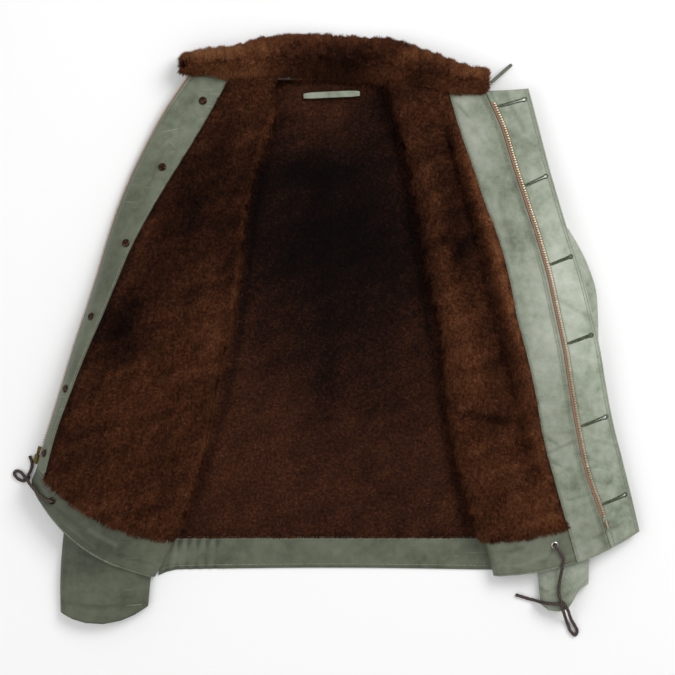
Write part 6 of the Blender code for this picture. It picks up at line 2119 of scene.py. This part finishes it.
hang *= np.interp(brim[:, 0], (-0.175, -0.150, 0.150, 0.190), (0.40, 0.92, 1.0, 0.62))  # short over the facings
reach = np.concatenate([reach, hang])
lean = np.concatenate([lean, np.full(HANGING_LOCKS, 1.20)])
clump = np.concatenate([clump, np.full(HANGING_LOCKS, -0.4)])
collar_tone = (
    0.52 + 0.08 * clump + 0.06 * wavy(p[:, 0], p[:, 1], 0.045, 46)
    + tone_at(p[:, 0], p[:, 1], COLLAR_LIGHT_AND_SHADE)
)
grown, spikes, tint, soft = lock_mesh(
    p - n * 0.0008, n, way, collar_chance, reach, 0.0016, lean, collar_tone, 0.55)
body_faces = []
count = len(collar_stations)
here = np.arange(size)
for i in range(count - 1):
    a, b = i * size + here, i * size + (here + 1) % size
    body_faces.append(np.stack([a, b, b + size], 1))
    body_faces.append(np.stack([a, b + size, a + size], 1))
for ring_start in (0, (count - 1) * size):
    fan = np.array([(ring_start, ring_start + j, ring_start + j + 1) for j in range(1, size - 1)])
    body_faces.append(fan if ring_start == 0 else fan[:, ::-1])
body_points = rings.reshape(-1, 3)
body_tint = np.tile([0.42, 0.5, 0.45], (len(body_points), 1))
body_tint[:, 2] += tone_at(body_points[:, 0], body_points[:, 1], COLLAR_LIGHT_AND_SHADE)
furred("collar_fur_pile", body_points, np.concatenate(body_faces), body_tint, grown, spikes, tint, soft)
declare(collar_skin_grid)

# ---- hanger loop and throat strap


def ribbon_grid(path, width, sideways, steps):
    dense = catmull(path, 0.0015)
    half = np.array(sideways) * width / 2
    taper = 1 - 0.30 * np.abs(np.linspace(-1, 1, len(dense))) ** 8
    return np.array([[point + half * share * narrow for share in np.linspace(-1, 1, steps)]
                     for point, narrow in zip(dense, taper)])


hanger_path = [(x - ORIGIN_X, HANGER_Y + HANGER_TILT * x - ORIGIN_Y, BACK_TOP + LEATHER / 2 + SEAM_GAP + arch)
               for x, arch in HANGER]
hanger_grid = ribbon_grid(hanger_path, HANGER_WIDTH, (0, 1, 0), 7)
sewn("hanger_loop_leather", hanger_grid, LEATHER, hide, "leather", ("hanger_loop",), side=-1, shade=0.40)

strap_points = settled(STRAP_PATH)
run = Vector(strap_points[-1]) - Vector(strap_points[0])
strap_side = Vector((-run.y, run.x, 0)).normalized()
strap_grid = ribbon_grid(strap_points, STRAP_WIDTH, tuple(strap_side), 5)
sewn("throat_strap_leather", strap_grid, LEATHER, hide, "leather", ("throat_strap",), side=-1, shade=0.16)

# ---- floor and studio light

FLOOR_SIZE = 8.0
bpy.ops.object.select_all(action="DESELECT")
bpy.ops.mesh.primitive_plane_add(size=FLOOR_SIZE, location=(0, 0, -0.0002))
floor = bpy.context.view_layer.objects.active
floor.name = "studio_floor"
paper = new_material("white_seamless_paper", {
    "Base Color": linear("#f2f2f2"), "Roughness": 0.9, "Specular IOR Level": 0.1})[0]
floor.data.materials.append(paper)


def area_light(name, place, target, size, watts):
    data = bpy.data.lights.new(name, "AREA")
    data.size = size
    data.energy = watts
    light = bpy.data.objects.new(name, data)
    light.location = place
    light.rotation_euler = (Vector(target) - Vector(place)).to_track_quat("-Z", "Y").to_euler()
    bpy.context.scene.collection.objects.link(light)


area_light("key_softbox", (1.5, 1.3, 2.1), (0, 0, 0), 1.5, 48)
area_light("fill_softbox", (-1.6, -0.6, 2.3), (0, 0, 0), 2.0, 18)
world = bpy.data.worlds.new("studio")
bpy.context.scene.world = world
world.use_nodes = True
world.node_tree.nodes["Background"].inputs["Color"].default_value = linear("#ffffff")
world.node_tree.nodes["Background"].inputs["Strength"].default_value = 0.60
# the photograph's white ground and clear greens need the plain transform
bpy.context.scene.view_settings.view_transform = "Standard"
